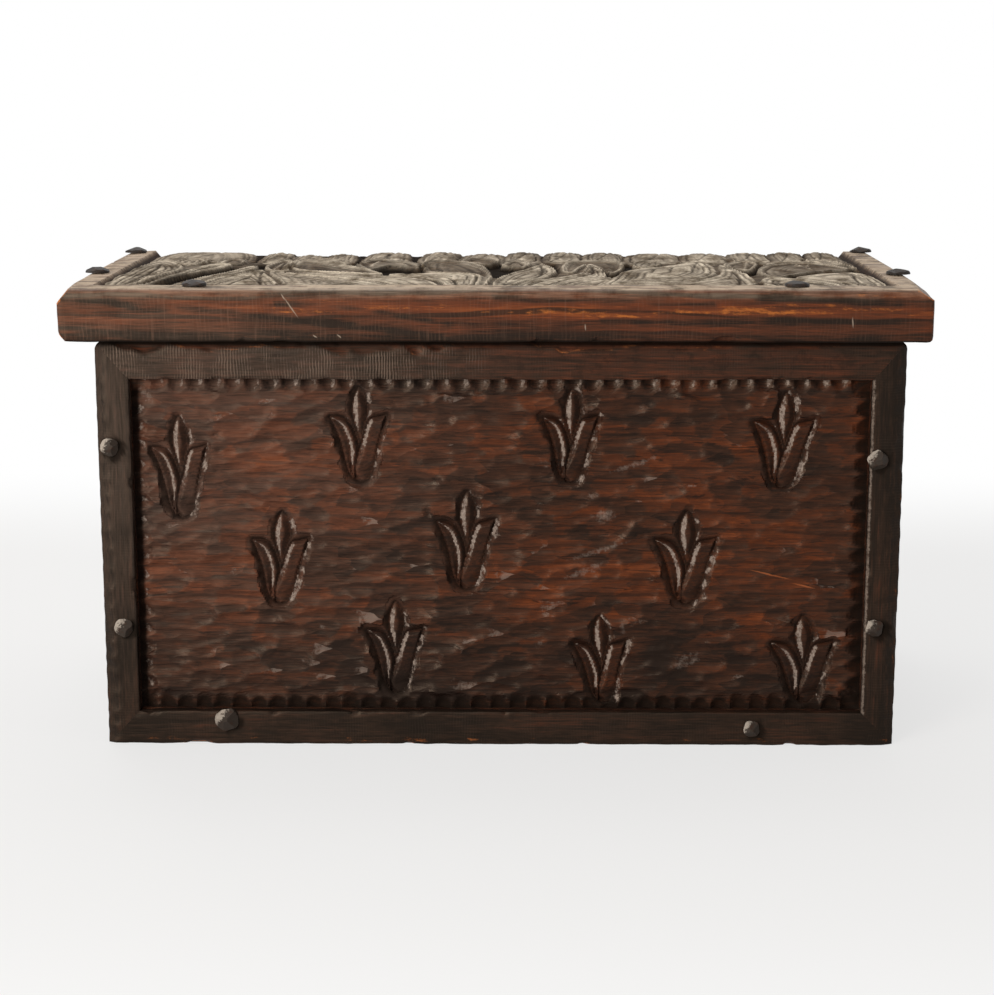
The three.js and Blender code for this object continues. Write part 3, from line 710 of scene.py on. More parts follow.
def woodFinish(name, look, along="X"):
    # What it reads from the mesh: tone shifts the stain; rub and wear show bare wood; a pale film lies on
    # top, real dust on some surfaces and a painted sheen where the light falls on others; deep is painted
    # shade in pits, gaps and shadowed places; facet gives the gouge cuts their tones, painted shading and
    # glints; a painted highlight goes where wax would shine; chatter brings out tool marks.
    finish = Finish(name)
    place = finish.place
    grain = place.moved(7, look["sway"])
    streaks = alongGrain(grain, along, look["streak"]).noise(1.0, 4.0, 0.6, 0.3) - 0.5
    fibre = alongGrain(place, along, "fibre").noise(1.0, 3.0, 0.6) - 0.5
    patch = alongGrain(place, along, "patch").noise(look["patch"], 3.0, 0.55) - 0.5
    tone = (streaks * look["streaks"] + patch * 1.0 + fibre * 1.1) * look["contrast"]
    tone = tone + finish.attribute("tone") * look["cutTone"] + 0.49
    if look["facets"]:
        own, lean, hollow = gougeShades(finish, look)
        # each cut's own tone, and the painted shading across it
        tone = tone + own * 0.09 + lean * 0.17
    stops = [(at, look[shade]) for at, shade in zip(toneStops, ("dark", "middle", "warm", "bright"))]
    colour = tone.add("ShaderNodeValToRGB", {"stops": stops}, {0: tone})
    rings = growthRings(place, look, along)
    late = (rings + streaks * 1.2).ramp(0.7, 1.0)
    colour = blendColours(late * look["ringShade"], colour, look["dark"])
    lines = alongGrain(grain, along, "darkLine").noise(1.0, 2.0, 0.5)
    colour = blendColours(lines.ramp(0.58, 0.68) * 0.75, colour, look["dark"])
    mottles = place.noise(look["mottle"], 4.0, 0.68)
    colour = blendColours(mottles.ramp(0.5, 0.62) * look["mottled"], colour, look["dark"])
    rubbed = alongGrain(place, along, "rub").noise(1.0, 5.0, 0.72) - 0.5
    rubMask = (finish.attribute("rub") * 1.1 + rubbed * 2.6 - rings * 0.1 - 0.78).ramp(0.0, 0.75)
    colour = blendColours(rubMask, colour, look["worn"])
    chips = place.noise(190, 4.0, 0.7)
    wornMask = (finish.attribute("wear") * 1.3 + chips * 0.9 - 1.2).ramp(0.0, 0.3)
    colour = blendColours(wornMask, colour, look["worn"])
    dust = (finish.attribute("dust") * ((streaks + fibre) * look["patchy"] + 0.85)).within()
    filmAndSheen = look["filmAndSheen"]
    if "shadow" in look:
        blotches = place.scaled((1, 0.4, 1)).noise(75, 4.0, 0.65)
        clean = (blotches + streaks * look["patchy"] * 0.35).ramp(0.28, 0.62)
        filmAndSheen = blendColours(clean, look["shadow"], filmAndSheen)
    colour = blendColours(dust, colour, filmAndSheen)
    if look["chatter"]:
        colour, ripple = toolChatter(finish, look, along, colour)
    hair = place.scaled((45, 120, 400)).noise(1.0, 3.0, 0.6).ramp(0.52, 0.66)
    colour = blendColours(hair * dust * look["hair"], colour, look["middle"])
    # painted shade: the deep mark darkens pits, gaps and shadowed places nearly to black
    deep = finish.attribute("deep")
    colour = blendColours((deep * 0.92).within(), colour, [c * 0.3 for c in look["dark"]])
    if look["facets"]:
        glint = (lean * 1.5 + own * 1.1 + place.noise(240, 4.0, 0.75) * 1.5 - 1.55).ramp(0, 0.4)
        colour = blendColours(glint * 0.4, colour, look["sheen"])
    # painted highlight where the waxed surface would shine, broken up by noise
    sheen = (finish.attribute("sheen") * 1.6 + (place.noise(300, 4.0, 0.75) - 0.5) * 3.0 - 0.62).ramp(0, 0.8)
    sheen = sheen * (place.noise(700, 3.0, 0.7) * 2.0 - 0.1)
    colour = blendColours(sheen.within(), colour, look["sheen"])
    for stroke in look.get("strokes", []):
        colour = drawStroke(finish, stroke, look, colour)
    low, high = look["roughness"]
    gloss = (patch * 1.3 + 0.5) * (high - low) + low + fibre * 0.3 + deep * 0.5 + dust * 0.4
    if look["facets"]:
        gloss = gloss + own * 0.2
    finish.set(colour=colour, roughness=gloss.within(), specular=look["specular"], tint=glossTint)
    height = fibre * 0.6 + streaks * 1.2
    if look["facets"]:
        height = height + hollow * 3.2
    if look["chatter"]:
        height = height + ripple * 0.5
    finish.bump(height, 0.0004, look["relief"])
    return finish.material


irons = {
    "lidNail": {"colour": (0.017, 0.012, 0.0095), "rust": (0.05, 0.03, 0.02), "metallic": 0.25},
    "bodyNail": {"colour": (0.027, 0.0185, 0.0135), "rust": (0.036, 0.015, 0.008), "metallic": 0.22},
    "hinge": {"colour": (0.04, 0.035, 0.031), "rust": (0.12, 0.055, 0.03), "metallic": 0.25},
}
nailHighlight = (0.29, 0.25, 0.215)  # painted highlight on the upper left of a front nail's head


def ironFinish(name, colour, rust, metallic):
    finish = Finish(name)
    spots = finish.place.noise(260, 4.0, 0.6)
    dents = finish.place.cells(420)
    colour = blendColours(spots.ramp(0.5, 0.75), colour, rust)
    # painted highlight: bright metal colour on the upper left of the front nails' heads
    bare = finish.attribute("sheen") * 1.5 + (finish.place.noise(700, 3.0, 0.7) - 0.5) * 2.4 - 0.7
    finish.set(colour=blendColours(bare.ramp(0, 0.5), colour, nailHighlight))
    finish.set(metallic=metallic, roughness=(spots * 0.5 + 0.42 - metallic * 0.2).within(), specular=0.25)
    finish.bump(spots + dents * 0.4, 0.0003, 0.6)
    return finish.material


# The front board: gouged face, a border of nicks, ten lilies

panel = {
    "cell": (1.75, 1.12),  # along the board and up it
    "thickness": frontHigh[1] - frontLow[1],
    "gouge": {
        "seed": 5,
        "rowPitch": 6.4,
        "run": 17,
        "tilt": 8,
        "depth": (0.1, 1.0),
        "sweep": (6.5, 12),
        "length": (70, 260),
        "stop": (6, 26),
        "lean": 0.13,
        "rise": 0.07,
    },
    "nickPitch": 11.7,
    "nickReach": 8.6,
    "nickDepth": 3.0,
    "nickRadius": (3.2, 7),  # the steep left wall and the long right one
    "nickShift": -1.9,
    "plainBorder": (4, 11),
    "lip": 0.4,  # the flat strip round the carving
    "arris": 1.2,
    "groundDepth": 3.2,
    "groundReach": 3.9,
    "lilyReach": 0.34,  # how far a point may move onto a petal's outline
    "strayDepth": 1.5,
    "cornerFan": [(22, 15), (45, 18), (68, 15)],  # three cuts from each corner: degrees and length
    "cornerCut": (6.5, 2.4),  # their width and depth
    "flow": [(5, 80, 50, 11), (1.5, 24, 30, 12)],  # how the gouge rows wander: height, length, width, seed
    "ripple": 0.12,
    "footTone": 0.9,
    "paint": {
        "deepCuts": (2.0, 3.4),  # painted shade in the cuts: mm below the face, from where it starts to where it is darkest
        "deepGround": (1.2, 3),
        "deepPetal": (1.6, 3.1),
        "crestReach": 0.07,
        "crestWear": 0.62,
        # how pale the painted sheen on the board's upper left is
        "dust": 0.28,
        # how far the painted shadow beside the frame reaches, in mm
        "gap": {"left": 5.4, "right": 4.2, "bottom": 2.6},
    },
}
openingLeft = nodeBox("frame_left_stile")[1][0] - bodyMiddle
openingRight = nodeBox("frame_right_stile")[0][0] - bodyMiddle
openingBottom = nodeBox("frame_bottom_rail")[1][2]
openingTop = nodeBox("frame_top_rail")[0][2]

# A petal's left and right edges in shares of a lily's width and height, each from its foot to its tip
petals = {
    "middle": {
        "left": [(0, 0.44), (-0.05, 0.54), (-0.12, 0.68), (-0.135, 0.8), (-0.09, 0.92), (-0.01, 1)],
        "right": [(0, 0.44), (0.05, 0.54), (0.13, 0.68), (0.145, 0.8), (0.09, 0.92), (-0.01, 1)],
    },
    "left": {
        "left": [(-0.12, 0.0), (-0.22, 0.08), (-0.27, 0.2), (-0.33, 0.38), (-0.42, 0.54), (-0.53, 0.68)],
        "right": [
            (-0.1, 0.03), (-0.06, 0.2), (-0.015, 0.34), (-0.06, 0.46), (-0.13, 0.57), (-0.22, 0.65),
            (-0.36, 0.69), (-0.52, 0.69),
        ],
    },
    "right": {
        "left": [
            (-0.08, -0.01), (-0.18, 0.06), (-0.13, 0.17), (-0.03, 0.3), (0.05, 0.44), (0.11, 0.58),
            (0.18, 0.67), (0.32, 0.68), (0.48, 0.71),
        ],
        "right": [
            (0.0, -0.02), (0.1, -0.01), (0.19, 0.07), (0.24, 0.2), (0.3, 0.36), (0.38, 0.53), (0.48, 0.71),
        ],
    },
}
# Each lily's tip and foot on the board, as shares of the opening's length and height, and its width in mm
lilies = [
    {"tip": (0.063, 0.885), "foot": (0.065, 0.588), "width": 34},
    {"tip": (0.309, 0.970), "foot": (0.310, 0.697), "width": 35},
    {"tip": (0.599, 0.968), "foot": (0.596, 0.695), "width": 34},
    {"tip": (0.889, 0.958), "foot": (0.885, 0.680), "width": 37},
    {"tip": (0.202, 0.600), "foot": (0.196, 0.327), "width": 35},
    {"tip": (0.456, 0.662), "foot": (0.454, 0.372), "width": 36},
    {"tip": (0.757, 0.603), "foot": (0.758, 0.327), "width": 38},
    {"tip": (0.356, 0.327), "foot": (0.356, 0.048), "width": 35},
    {"tip": (0.638, 0.283), "foot": (0.645, 0.020), "width": 33},
    {"tip": (0.919, 0.285), "foot": (0.924, 0.022), "width": 39},
]


def openingPoint(shares):
    across, up = shares
    x = openingLeft + across * (openingRight - openingLeft)
    return np.array([x, openingBottom + up * (openingTop - openingBottom)])


def petalPaths(lily, name):
    foot, tip = openingPoint(lily["foot"]), openingPoint(lily["tip"])
    paths = {}
    for side, shares in petals[name].items():
        shares = roundedPath(shares)
        x = foot[0] + shares[:, 0] * lily["width"] + shares[:, 1] * (tip[0] - foot[0])
        paths[side] = np.stack([x, foot[1] + shares[:, 1] * (tip[1] - foot[1])], axis=1)
    paths["outline"] = np.concatenate([paths["left"], paths["right"][::-1]])
    return paths


def petalHeight(name, fromLeft, fromRight, fromEdge, up):
    # Height on a petal below the board's face, from the distances to its edges.
    wall = -3.1 + fromEdge * 2.6
    share = fromLeft / (fromLeft + fromRight + 1e-6)
    if name == "middle":
        return np.minimum(-2.9 + np.minimum(fromLeft * 0.8, fromRight * 0.7), -0.15)
    if name == "right":
        bevel = -2.9 + fromLeft * (0.75 + 0.35 * smoothStep(up, 0.2, 0.6))
        fall = -0.15 - np.maximum(fromLeft - 2.8, 0) * 0.34
        foot = 1.6 * (1 - smoothStep(up, 0, 0.2))
        return np.minimum(np.minimum(bevel, fall) - foot, wall)
    # The left petal is hollow on its outer side and has a crest that falls away to the middle.
    top = np.interp(share, (0, 0.12, 0.45, 0.68, 0.76, 1), (-1.3, -0.9, -2.7, -0.5, -0.35, -2.8))
    return np.minimum(top, wall)


def nickCut(along, away, length, pitch, seed):
    # A row of gouge scoops beside the frame: deepest at the frame, each ending in a rounded lip.
    count = round(length / pitch)
    pitch = length / count
    index = np.clip(np.floor(along / pitch), 0, count - 1).astype(np.int64)
    lowest = np.full(along.shape, 9.0)
    for step in (-1, 0, 1):
        nick = index + step
        shift = latticeValue(nick, nick * 0 + 3, seed)
        size = latticeValue(nick, nick * 0 + 7, seed)
        offset = along - (nick + 0.5) * pitch - panel["nickShift"] - shift * 0.6
        deep = panel["nickDepth"] * (1 + 0.1 * size)
        reach = panel["nickReach"] * (1 + 0.1 * shift)
        steep, gentle = panel["nickRadius"]
        across = (offset + 0.1 * shift * away) ** 2 / (2 * np.where(offset < 0, steep, gentle))
        scoop = across - deep * (1 - (away / reach) ** 2)
        there = (nick >= 0) & (nick < count)
        lowest = np.where(there, np.minimum(lowest, scoop), lowest)
    return lowest


def strokeCut(x, z, start, degrees, length, width, depth):
    # One scoop from a point outwards, deepest at a third of its length.
    turn = radians(degrees)
    dx, dz = x - start[0], z - start[1]
    along = dx * cos(turn) + dz * sin(turn)
    across = dz * cos(turn) - dx * sin(turn)
    middle = along - length * 0.35
    bow = np.where(middle < 0, (middle / (length * 0.35)) ** 2, (middle / (length * 0.65)) ** 2)
    return depth * (bow + (across / (width / 2)) ** 2 - 1)


# Redder and darker places on the board: place as shares of the opening, reaches in mm, tone
toneSpots = [
    ((0.19, 0.74), (34, 9), 1.4), ((0.35, 0.8), (50, 12), 1.0), ((0.62, 0.83), (60, 16), 0.7),
    ((0.68, 0.44), (45, 14), 1.1), ((0.9, 0.52), (34, 40), -0.5), ((0.16, 0.2), (60, 30), -0.8),
    ((0.7, 0.36), (30, 10), 1.1), ((0.72, 0.16), (9, 14), -3.0), ((0.66, 0.08), (16, 6), 1.6),
    ((0.5, 0.05), (160, 9), -0.8), ((0.25, 0.98), (120, 5), -0.9),
]

# Scrapes and scratches on the board from point to point, as shares of the opening, and their widths in mm
scrapes = [
    ((0.64, 0.715), (0.722, 0.772), 5), ((0.58, 0.448), (0.685, 0.52), 4.5),
    ((0.58, 0.395), (0.658, 0.455), 7), ((0.615, 0.648), (0.64, 0.656), 5),
    ((0.622, 0.59), (0.664, 0.592), 11), ((0.733, 0.125), (0.785, 0.17), 10),
    ((0.667, 0.275), (0.672, 0.222), 5), ((0.006, 0.99), (0.034, 0.91), 7),
    ((0.836, 0.432), (0.907, 0.396), 1.2), ((0.9, 0.388), (0.937, 0.371), 1.4),
]
woodLooks["carvedFront"]["strokes"] = [
    {
        "from": openingPoint(start) + (bodyMiddle, 0),
        "to": openingPoint(end) + (bodyMiddle, 0),
        "width": width,
        "front": faceY + 6,
        "strength": 0.38 if width > broad else 0.9,
        "colour": "sheen" if width > broad else "worn",
    }
    for start, end, width in scrapes
]

# Short stray cuts beside the lilies: the lily, the place in shares of it, the way, the length and width in mm
strayCuts = [
    (0, (0.55, 0.78), 40, 9, 4), (0, (0.6, 0.66), 10, 8, 3), (1, (0.58, 0.78), 75, 8, 3.5),
    (3, (-0.62, 0.72), 160, 8, 4), (4, (-0.08, 1.02), 110, 7, 4), (4, (0.6, 0.68), -35, 9, 3.5),
    (5, (-0.62, 0.74), 125, 8, 5), (6, (-0.66, 0.73), 165, 9, 4), (6, (0.6, 0.7), -60, 9, 3.5),
    (7, (0.6, 0.68), -30, 8, 4), (9, (-0.6, 0.72), 150, 8, 4), (9, (0.64, 0.74), 60, 8, 3.5),
]


def strayHeight(x, z):
    lowest = np.full(x.shape, 9.0)
    for number, (across, up), way, length, width in strayCuts:
        lily = lilies[number]
        foot, tip = openingPoint(lily["foot"]), openingPoint(lily["tip"])
        start = foot + np.array([across * lily["width"], up * (tip[1] - foot[1])])
        lowest = np.minimum(lowest, strokeCut(x, z, start, way, length, width, panel["strayDepth"]))
    corners = [
        (openingLeft, openingTop, -90),
        (openingRight, openingTop, 180),
        (openingLeft, openingBottom, 0),
        (openingRight, openingBottom, 90),
    ]
    width, depth = panel["cornerCut"]
    for cornerX, cornerZ, first in corners:
        for turn, length in panel["cornerFan"]:
            stroke = strokeCut(x, z, (cornerX, cornerZ), first + turn, length, width, depth)
            lowest = np.minimum(lowest, stroke)
    return lowest


def nickBorder(x, z):
    length, tall = openingRight - openingLeft, openingTop - openingBottom
    pitch = panel["nickPitch"]
    rows = [
        (x - openingLeft, openingTop - z, length, pitch, 21),
        (x - openingLeft, z - openingBottom, length, pitch, 22),
        (z - openingBottom, x - openingLeft, tall, pitch, 23),
        (z - openingBottom, openingRight - x, tall, pitch, 24),
    ]
    return np.min([nickCut(*row) for row in rows], axis=0)


def snapToPetals(x, z, made):
    # Points close to a petal's outline move onto it, so that its edge is crisp.
    for _name, paths, _lily in made:
        near = within(x, z, paths["outline"], 3)
        distance, wayX, wayZ = pathDistance(x[near], z[near], paths["outline"], closed=True)
        snapped = distance < panel["lilyReach"]
        x[near] += np.where(snapped, wayX, 0)
        z[near] += np.where(snapped, wayZ, 0)


def raisePetals(x, z, made):
    # How far each point lies from a petal, the height of the petals, and where the light catches them.
    ground = np.full(x.shape, 1e9)
    petalTop = np.full(x.shape, -1e9)
    shine = np.zeros(x.shape)
    for name, paths, lily in made:
        near = within(x, z, paths["outline"], 9)
        nearX, nearZ = x[near], z[near]
        fromLeft = pathDistance(nearX, nearZ, paths["left"])[0]
        fromRight = pathDistance(nearX, nearZ, paths["right"])[0]
        distance = pathDistance(nearX, nearZ, paths["outline"], closed=True)[0]
        inside = insideOutline(nearX, nearZ, paths["outline"]) | (distance < 0.01)
        ground[near] = np.minimum(ground[near], np.where(inside, 0, distance))
        foot, tip = openingPoint(lily["foot"]), openingPoint(lily["tip"])
        up = (nearZ - foot[1]) / (tip[1] - foot[1])
        top = petalHeight(name, fromLeft, fromRight, distance, up)
        petalTop[near] = np.where(inside, np.maximum(petalTop[near], top), petalTop[near])
        share = fromLeft / (fromLeft + fromRight + 1e-6)
        bright = {"middle": 0.75, "left": 0.8 * smoothStep(share, 0.3, 0.5)}
        bright["right"] = 0.8 * smoothStep(up, 0.12, 0.5)
        shine[near] = np.where(inside, bright[name], shine[near])
    return ground, petalTop, shine


def boardTone(x, z, tone):
    # The foot of the board is darker, and the stain is uneven.
    tall = openingTop - openingBottom
    tone = tone - panel["footTone"] * smoothStep(-z, -openingBottom - 0.35 * tall, -openingBottom)
    for spot, reach, stain in toneSpots:
        away = (openingPoint(spot)[:, None] - np.array([x, z])) / np.array(reach)[:, None]
        tone = tone + stain * np.exp(-np.sum(away**2, axis=0))
    return tone


def paintFront(x, z, height, nicks, onGround, onPetal, crest, tone, shine):
    paint = panel["paint"]
    # painted shade: darker the deeper the cut, on the sunk ground round the lilies and on the petals' low
    # parts
    deep = smoothStep(-height, *paint["deepCuts"]) * 0.4
    deep = np.where(onGround, smoothStep(-height, *paint["deepGround"]) * 0.9, deep)
    deep = np.where(onPetal, smoothStep(-height, *paint["deepPetal"]) * 0.45, deep)
    crestWear = np.exp(-crest / paint["crestReach"]) * paint["crestWear"]
    wear = np.where(onPetal, 0.2, crestWear * (1 - deep))
    petalTone = -0.2 + 0.5 * softNoise(x / 30, z / 30, 36)
    tone = np.where(onPetal, petalTone, np.where(onGround, -0.3, tone))
    # painted highlights where the waxed ridges would shine: those round a lily raggedly, those of the nicks
    # by their depth
    ragged = smoothStep(softNoise(x / 3, z / 4, 35), -0.4, 0.5)
    nickShine = 0.34 + 0.4 * smoothStep(-nicks, 0.2, 1.2)
    sheen = np.where(onPetal, shine, np.where(onGround, 0.28 + 0.42 * ragged, nickShine))
    # the nicks on the right and at the foot lie in the frame's shade
    unlit = smoothStep(x, openingRight - 10, openingRight - 6)
    unlit = np.maximum(unlit, smoothStep(openingBottom + 10 - z, 0, 4))
    unlit = unlit * smoothStep(-nicks, -0.4, 0.3) * (~onPetal)
    deep, sheen = np.maximum(deep, 0.82 * unlit), sheen * (1 - 0.75 * unlit)
    # painted shadow: the strip beside the frame, where the frame's shadow falls, is black
    reach = paint["gap"]
    gap = smoothStep(openingLeft + reach["left"] - x, 0, 1.4)
    gap = np.maximum(gap, smoothStep(x - openingRight + reach["right"], 0, 1.4))
    gap = np.maximum(gap, smoothStep(openingBottom + reach["bottom"] - z, 0, 1.2))
    belowRail = 1 - smoothStep(z, openingTop - 9, openingTop - 5)
    # painted sheen: the board's upper left is paler, where the window's light falls on it
    leftSheen = paint["dust"] * smoothStep(-x, -60, 200)
    upper = smoothStep(z, openingBottom, openingBottom + 0.8 * (openingTop - openingBottom))
    return {
        "deep": np.maximum(deep, 0.95 * gap * belowRail),
        "wear": wear,
        "tone": boardTone(x, z, tone),
        "dust": leftSheen * (0.25 + 0.75 * upper),
        "facet": np.where(onPetal | onGround, 0, smoothStep(nicks, 0.0, 1.2)),
        "sheen": sheen,
    }


def carveFront(x, z):
    made = [(name, petalPaths(lily, name), lily) for lily in lilies for name in petals]
    snapToPetals(x, z, made)
    flow = sum(high * softNoise(x / long, z / tall, seed) for high, long, tall, seed in panel["flow"])
    height, crest, tone = gougeField(x, z + flow, panel["gouge"])
    height = height + panel["ripple"] * layeredNoise(x / 9, z / 2.2, 14)
    fromFrame = np.minimum(x - openingLeft, openingRight - x)
    fromFrame = np.minimum(fromFrame, np.minimum(z - openingBottom, openingTop - z))
    height = height * smoothStep(fromFrame, *panel["plainBorder"])
    nicks = nickBorder(x, z)
    height = np.minimum(np.minimum(height, nicks), strayHeight(x, z))
    ground, petalTop, shine = raisePetals(x, z, made)
    reach = panel["groundReach"] * (1 + 0.35 * softNoise(x / 5, z / 5, 31))
    slope = -panel["groundDepth"] * (1 - ground / reach) + 0.15 * softNoise(x / 2, z / 2, 33)
    onGround = ground < reach
    height = np.where(onGround, np.minimum(height, slope), height)
    onPetal = petalTop > -100
    height = np.where(onPetal, petalTop, height)
    return x, z, height, paintFront(x, z, height, nicks, onGround, onPetal, crest, tone, shine)


def frontGrid(length, tall, middle):
    # An even grid over the opening, twice as fine where a lily stands.
    bm = bmesh.new()
    counts = round(length / panel["cell"][0]), round(tall / panel["cell"][1])
    place = Matrix.Translation((0, middle, 0)) @ Matrix.Diagonal((length, tall, 1, 1))
    bmesh.ops.create_grid(bm, x_segments=counts[0], y_segments=counts[1], size=0.5, matrix=place)
    zones = [np.concatenate([petalPaths(lily, name)["outline"] for name in petals]) for lily in lilies]
    zones = [(zone.min(0) - 1.5, zone.max(0) + 1.5) for zone in zones]
    chosen = set()
    for face in bm.faces:
        at = face.calc_center_median()
        if any(low[0] < at.x < high[0] and low[1] < at.y < high[1] for low, high in zones):
            chosen.update(face.edges)
    bmesh.ops.subdivide_edges(bm, edges=list(chosen), cuts=1, use_grid_fill=True)
    return bm


def makeFrontBoard():
    length, tall = openingRight - openingLeft, openingTop - openingBottom
    middle = (openingBottom + openingTop) / 2
    bm = frontGrid(length, tall, middle)
    carved = len(bm.verts)
    rim = [edge for edge in bm.edges if edge.is_boundary]
    halfLength = (frontHigh[0] - frontLow[0]) / 2
    halfTall = (frontHigh[2] - frontLow[2]) / 2
    centre = frontLow[2] + halfTall
    back, worn, lip = -panel["thickness"], panel["arris"], panel["lip"]
    steps = [
        (length / 2 + lip, tall / 2 + lip, middle, 0),
        (halfLength - worn, halfTall - worn, centre, 0),
        (halfLength, halfTall, centre, -worn),
        (halfLength, halfTall, centre, back + worn),
        (halfLength - worn, halfTall - worn, centre, back),
    ]
    for toLength, toTall, toMiddle, depth in steps:
        grown = bmesh.ops.extrude_edge_only(bm, edges=rim)["geom"]
        rim = pick(grown, bmesh.types.BMEdge)
        for v in pick(grown, bmesh.types.BMVert):
            v.co.x = v.co.x / (length / 2) * toLength
            v.co.y = toMiddle + (v.co.y - middle) / (tall / 2) * toTall
            v.co.z = depth
        middle, length, tall = toMiddle, toLength * 2, toTall * 2
    bmesh.ops.edgeloop_fill(bm, edges=rim)
    faceOut(bm)
    mesh = newMesh("carved_front_board", bm)
    points = meshPoints(mesh)
    x, z, height, marks = carveFront(points[:carved, 0].copy(), points[:carved, 1].copy())
    points[:carved] = np.stack([x, z, height], axis=1)
    placed = np.stack([points[:, 0] + bodyMiddle, faceY - points[:, 2], points[:, 1]], axis=1)
    setMeshPoints(mesh, roundCorners(placed) * mm)
    # walls that face left catch the window's light, and those that face right are dark
    sideways = meshNormals(mesh)[:carved, 0]
    marks["sheen"] = marks["sheen"] * smoothStep(-sideways, 0.1, 0.5)
    marks["deep"] = np.maximum(marks["deep"], 0.75 * smoothStep(sideways, 0.2, 0.7))
    rest = {mark: np.zeros(len(points) - carved) for mark in marks}
    rest["dust"] = 0.5 * (points[carved:, 2] < back + 0.5)  # the inside of the chest
    setMarks(mesh, {mark: np.concatenate([values, rest[mark]]) for mark, values in marks.items()})
    finish = woodFinish("carved front wood", woodLooks["carvedFront"])
    addPiece("carved_front_board", mesh, "chest_body", finish, "front_board")


# The moulding frame: four mitred strips, the stiles' outer arris cut back and gouged

frameLook = {
    "cell": 1.7,
    "rounding": 0.8,
    "mitreGap": 0.01,
    "chamferWidth": 9,
    "chamferDepth": 4.2,
    "chamferPitch": 11.5,
    "cornerRadius": {"left": 8, "right": 6.5},
    "paint": {
        "outerRub": 0.52,
        "fleckRub": 0.85,
        "underLid": (-4.6, -3.0),  # painted shadow under the lid's overhang, in mm from the frame's top
        # how dark the painted shadow beside each nail is
        "paintedNailShadow": 0.9,
        "railTone": 1.2,
        # how pale the painted sheen on the frame's left is
        "dust": 0.3,
        "arris": 0.8,
    },
    "wear": {
        "seed": 40,
        "wear": 0.8,
        "chip": 11,
        "chipDepth": 0.9,
        "reach": 2.2,
        "uneven": 0.25,
        "wave": 16,
    },
}


def slopedEnds(points, low, high, across, along, starts, ends):
    # Moves a strip's ends so that they run from the outer corner to the opening's corner.
    share = (points[:, across] - low[across]) / (high[across] - low[across])
    t = (points[:, along] - low[along]) / (high[along] - low[along])
    first = starts[0] + (starts[1] - starts[0]) * share
    last = ends[0] + (ends[1] - ends[0]) * share
    points[:, along] = first + (last - first) * t
    return points


def chamferSide(points, low, high, side):
    # The outer arris falls away to the side, with a gouge nick every few millimetres.
    outer = frontLow[0] if side < 0 else frontHigh[0]
    fromOuter = np.abs(points[:, 0] - outer)
    thickness = high[1] - low[1]
    z = points[:, 2]
    scoop = np.abs(((z / frameLook["chamferPitch"] + 0.45 * softNoise(z / 25, 0, 44)) % 1) - 0.5) * 2
    width = frameLook["chamferWidth"] * (1 - 0.3 * scoop**2 + 0.2 * softNoise(z / 19, side, 45))
    deep = frameLook["chamferDepth"] * (1 - 0.3 * scoop + 0.15 * softNoise(z / 4, side, 46))
    cut = deep * np.clip(1 - fromOuter / width, 0, 1) ** 1.15
    depth = (points[:, 1] - low[1]) / thickness
    points[:, 1] = low[1] + cut + depth * (thickness - cut)
    return points, cut


def roundCorners(points):
    # The body's two upper corners, seen from the front, are worn round.
    top = (frontHigh[2], -1)
    radius = frameLook["cornerRadius"]
    points = roundEdge(points, 0, (frontLow[0], 1), 2, top, radius["left"])
    return roundEdge(points, 0, (frontHigh[0], -1), 2, top, radius["right"])


# Scoops in the top rail's upper front arris: middle, length, height and depth in mm, and how rubbed they are
railScoops = [
    (-223, 36, 9.5, 3.2, 0.1), (-174, 64, 7.6, 1.8, 1), (-129, 30, 6.4, 1.4, 0.7), (-87, 58, 11, 2.0, 0.6),
    (-53, 14, 9, 2.2, 0.8), (-40, 16, 7, 2.4, 0), (-7, 52, 6.2, 1.2, 0.7), (52, 70, 7.6, 1.4, 1),
    (120, 70, 6.4, 1.1, 0.8), (185, 60, 6, 1.1, 0.6),
]


def scoopRail(points, low, high):
    x, y, z = points.T
    fromTop, fromFront = high[2] - z, y - low[1]
    rub = np.zeros(len(points))
    red = np.zeros(len(points))
    for middle, length, tall, depth, rubbed in railScoops:
        bow = np.clip(1 - ((x - bodyMiddle - middle) / (length / 2)) ** 2, 0, 1) ** 0.6
        lower = tall * bow * (1 + 0.2 * softNoise(x / 6, middle, 47)) + 0.01
        near = np.clip(1 - fromTop / lower, 0, 1) * np.clip(1 - fromFront / 7, 0, 1)
        points[:, 1] = points[:, 1] + depth * bow * np.minimum(near * 2.2, 1)
        onEdge = bell(fromTop - lower * 0.86, 1.5) * (bow > 0.2) * (fromFront < 4)
        rub = np.maximum(rub, rubbed * onEdge)
        red = np.maximum(red, smoothStep(near, 0, 0.3))
    return points, rub, red


def nailShade(points):
    # Painted shadow: the wood is darker to the right of each nail and below it, where the nail's shadow
    # falls.
    dark = np.zeros(len(points))
    for name in frame["record"]["behaviour"]["bodies"]["chest_body"]:
        if name.endswith("_nail") and ("stile" in name or "rail" in name):
            low, high = nodeBox(name)
            x, z = (points[:, (0, 2)] - ((low + high) / 2)[[0, 2]] - (2.6, -1.8)).T
            ragged = 1 + 0.3 * softNoise(points[:, 0] / 3, points[:, 2] / 3, 50)
            dark = np.maximum(dark, smoothStep(-np.hypot(x, z) * ragged, -9, -5.5))
    return dark


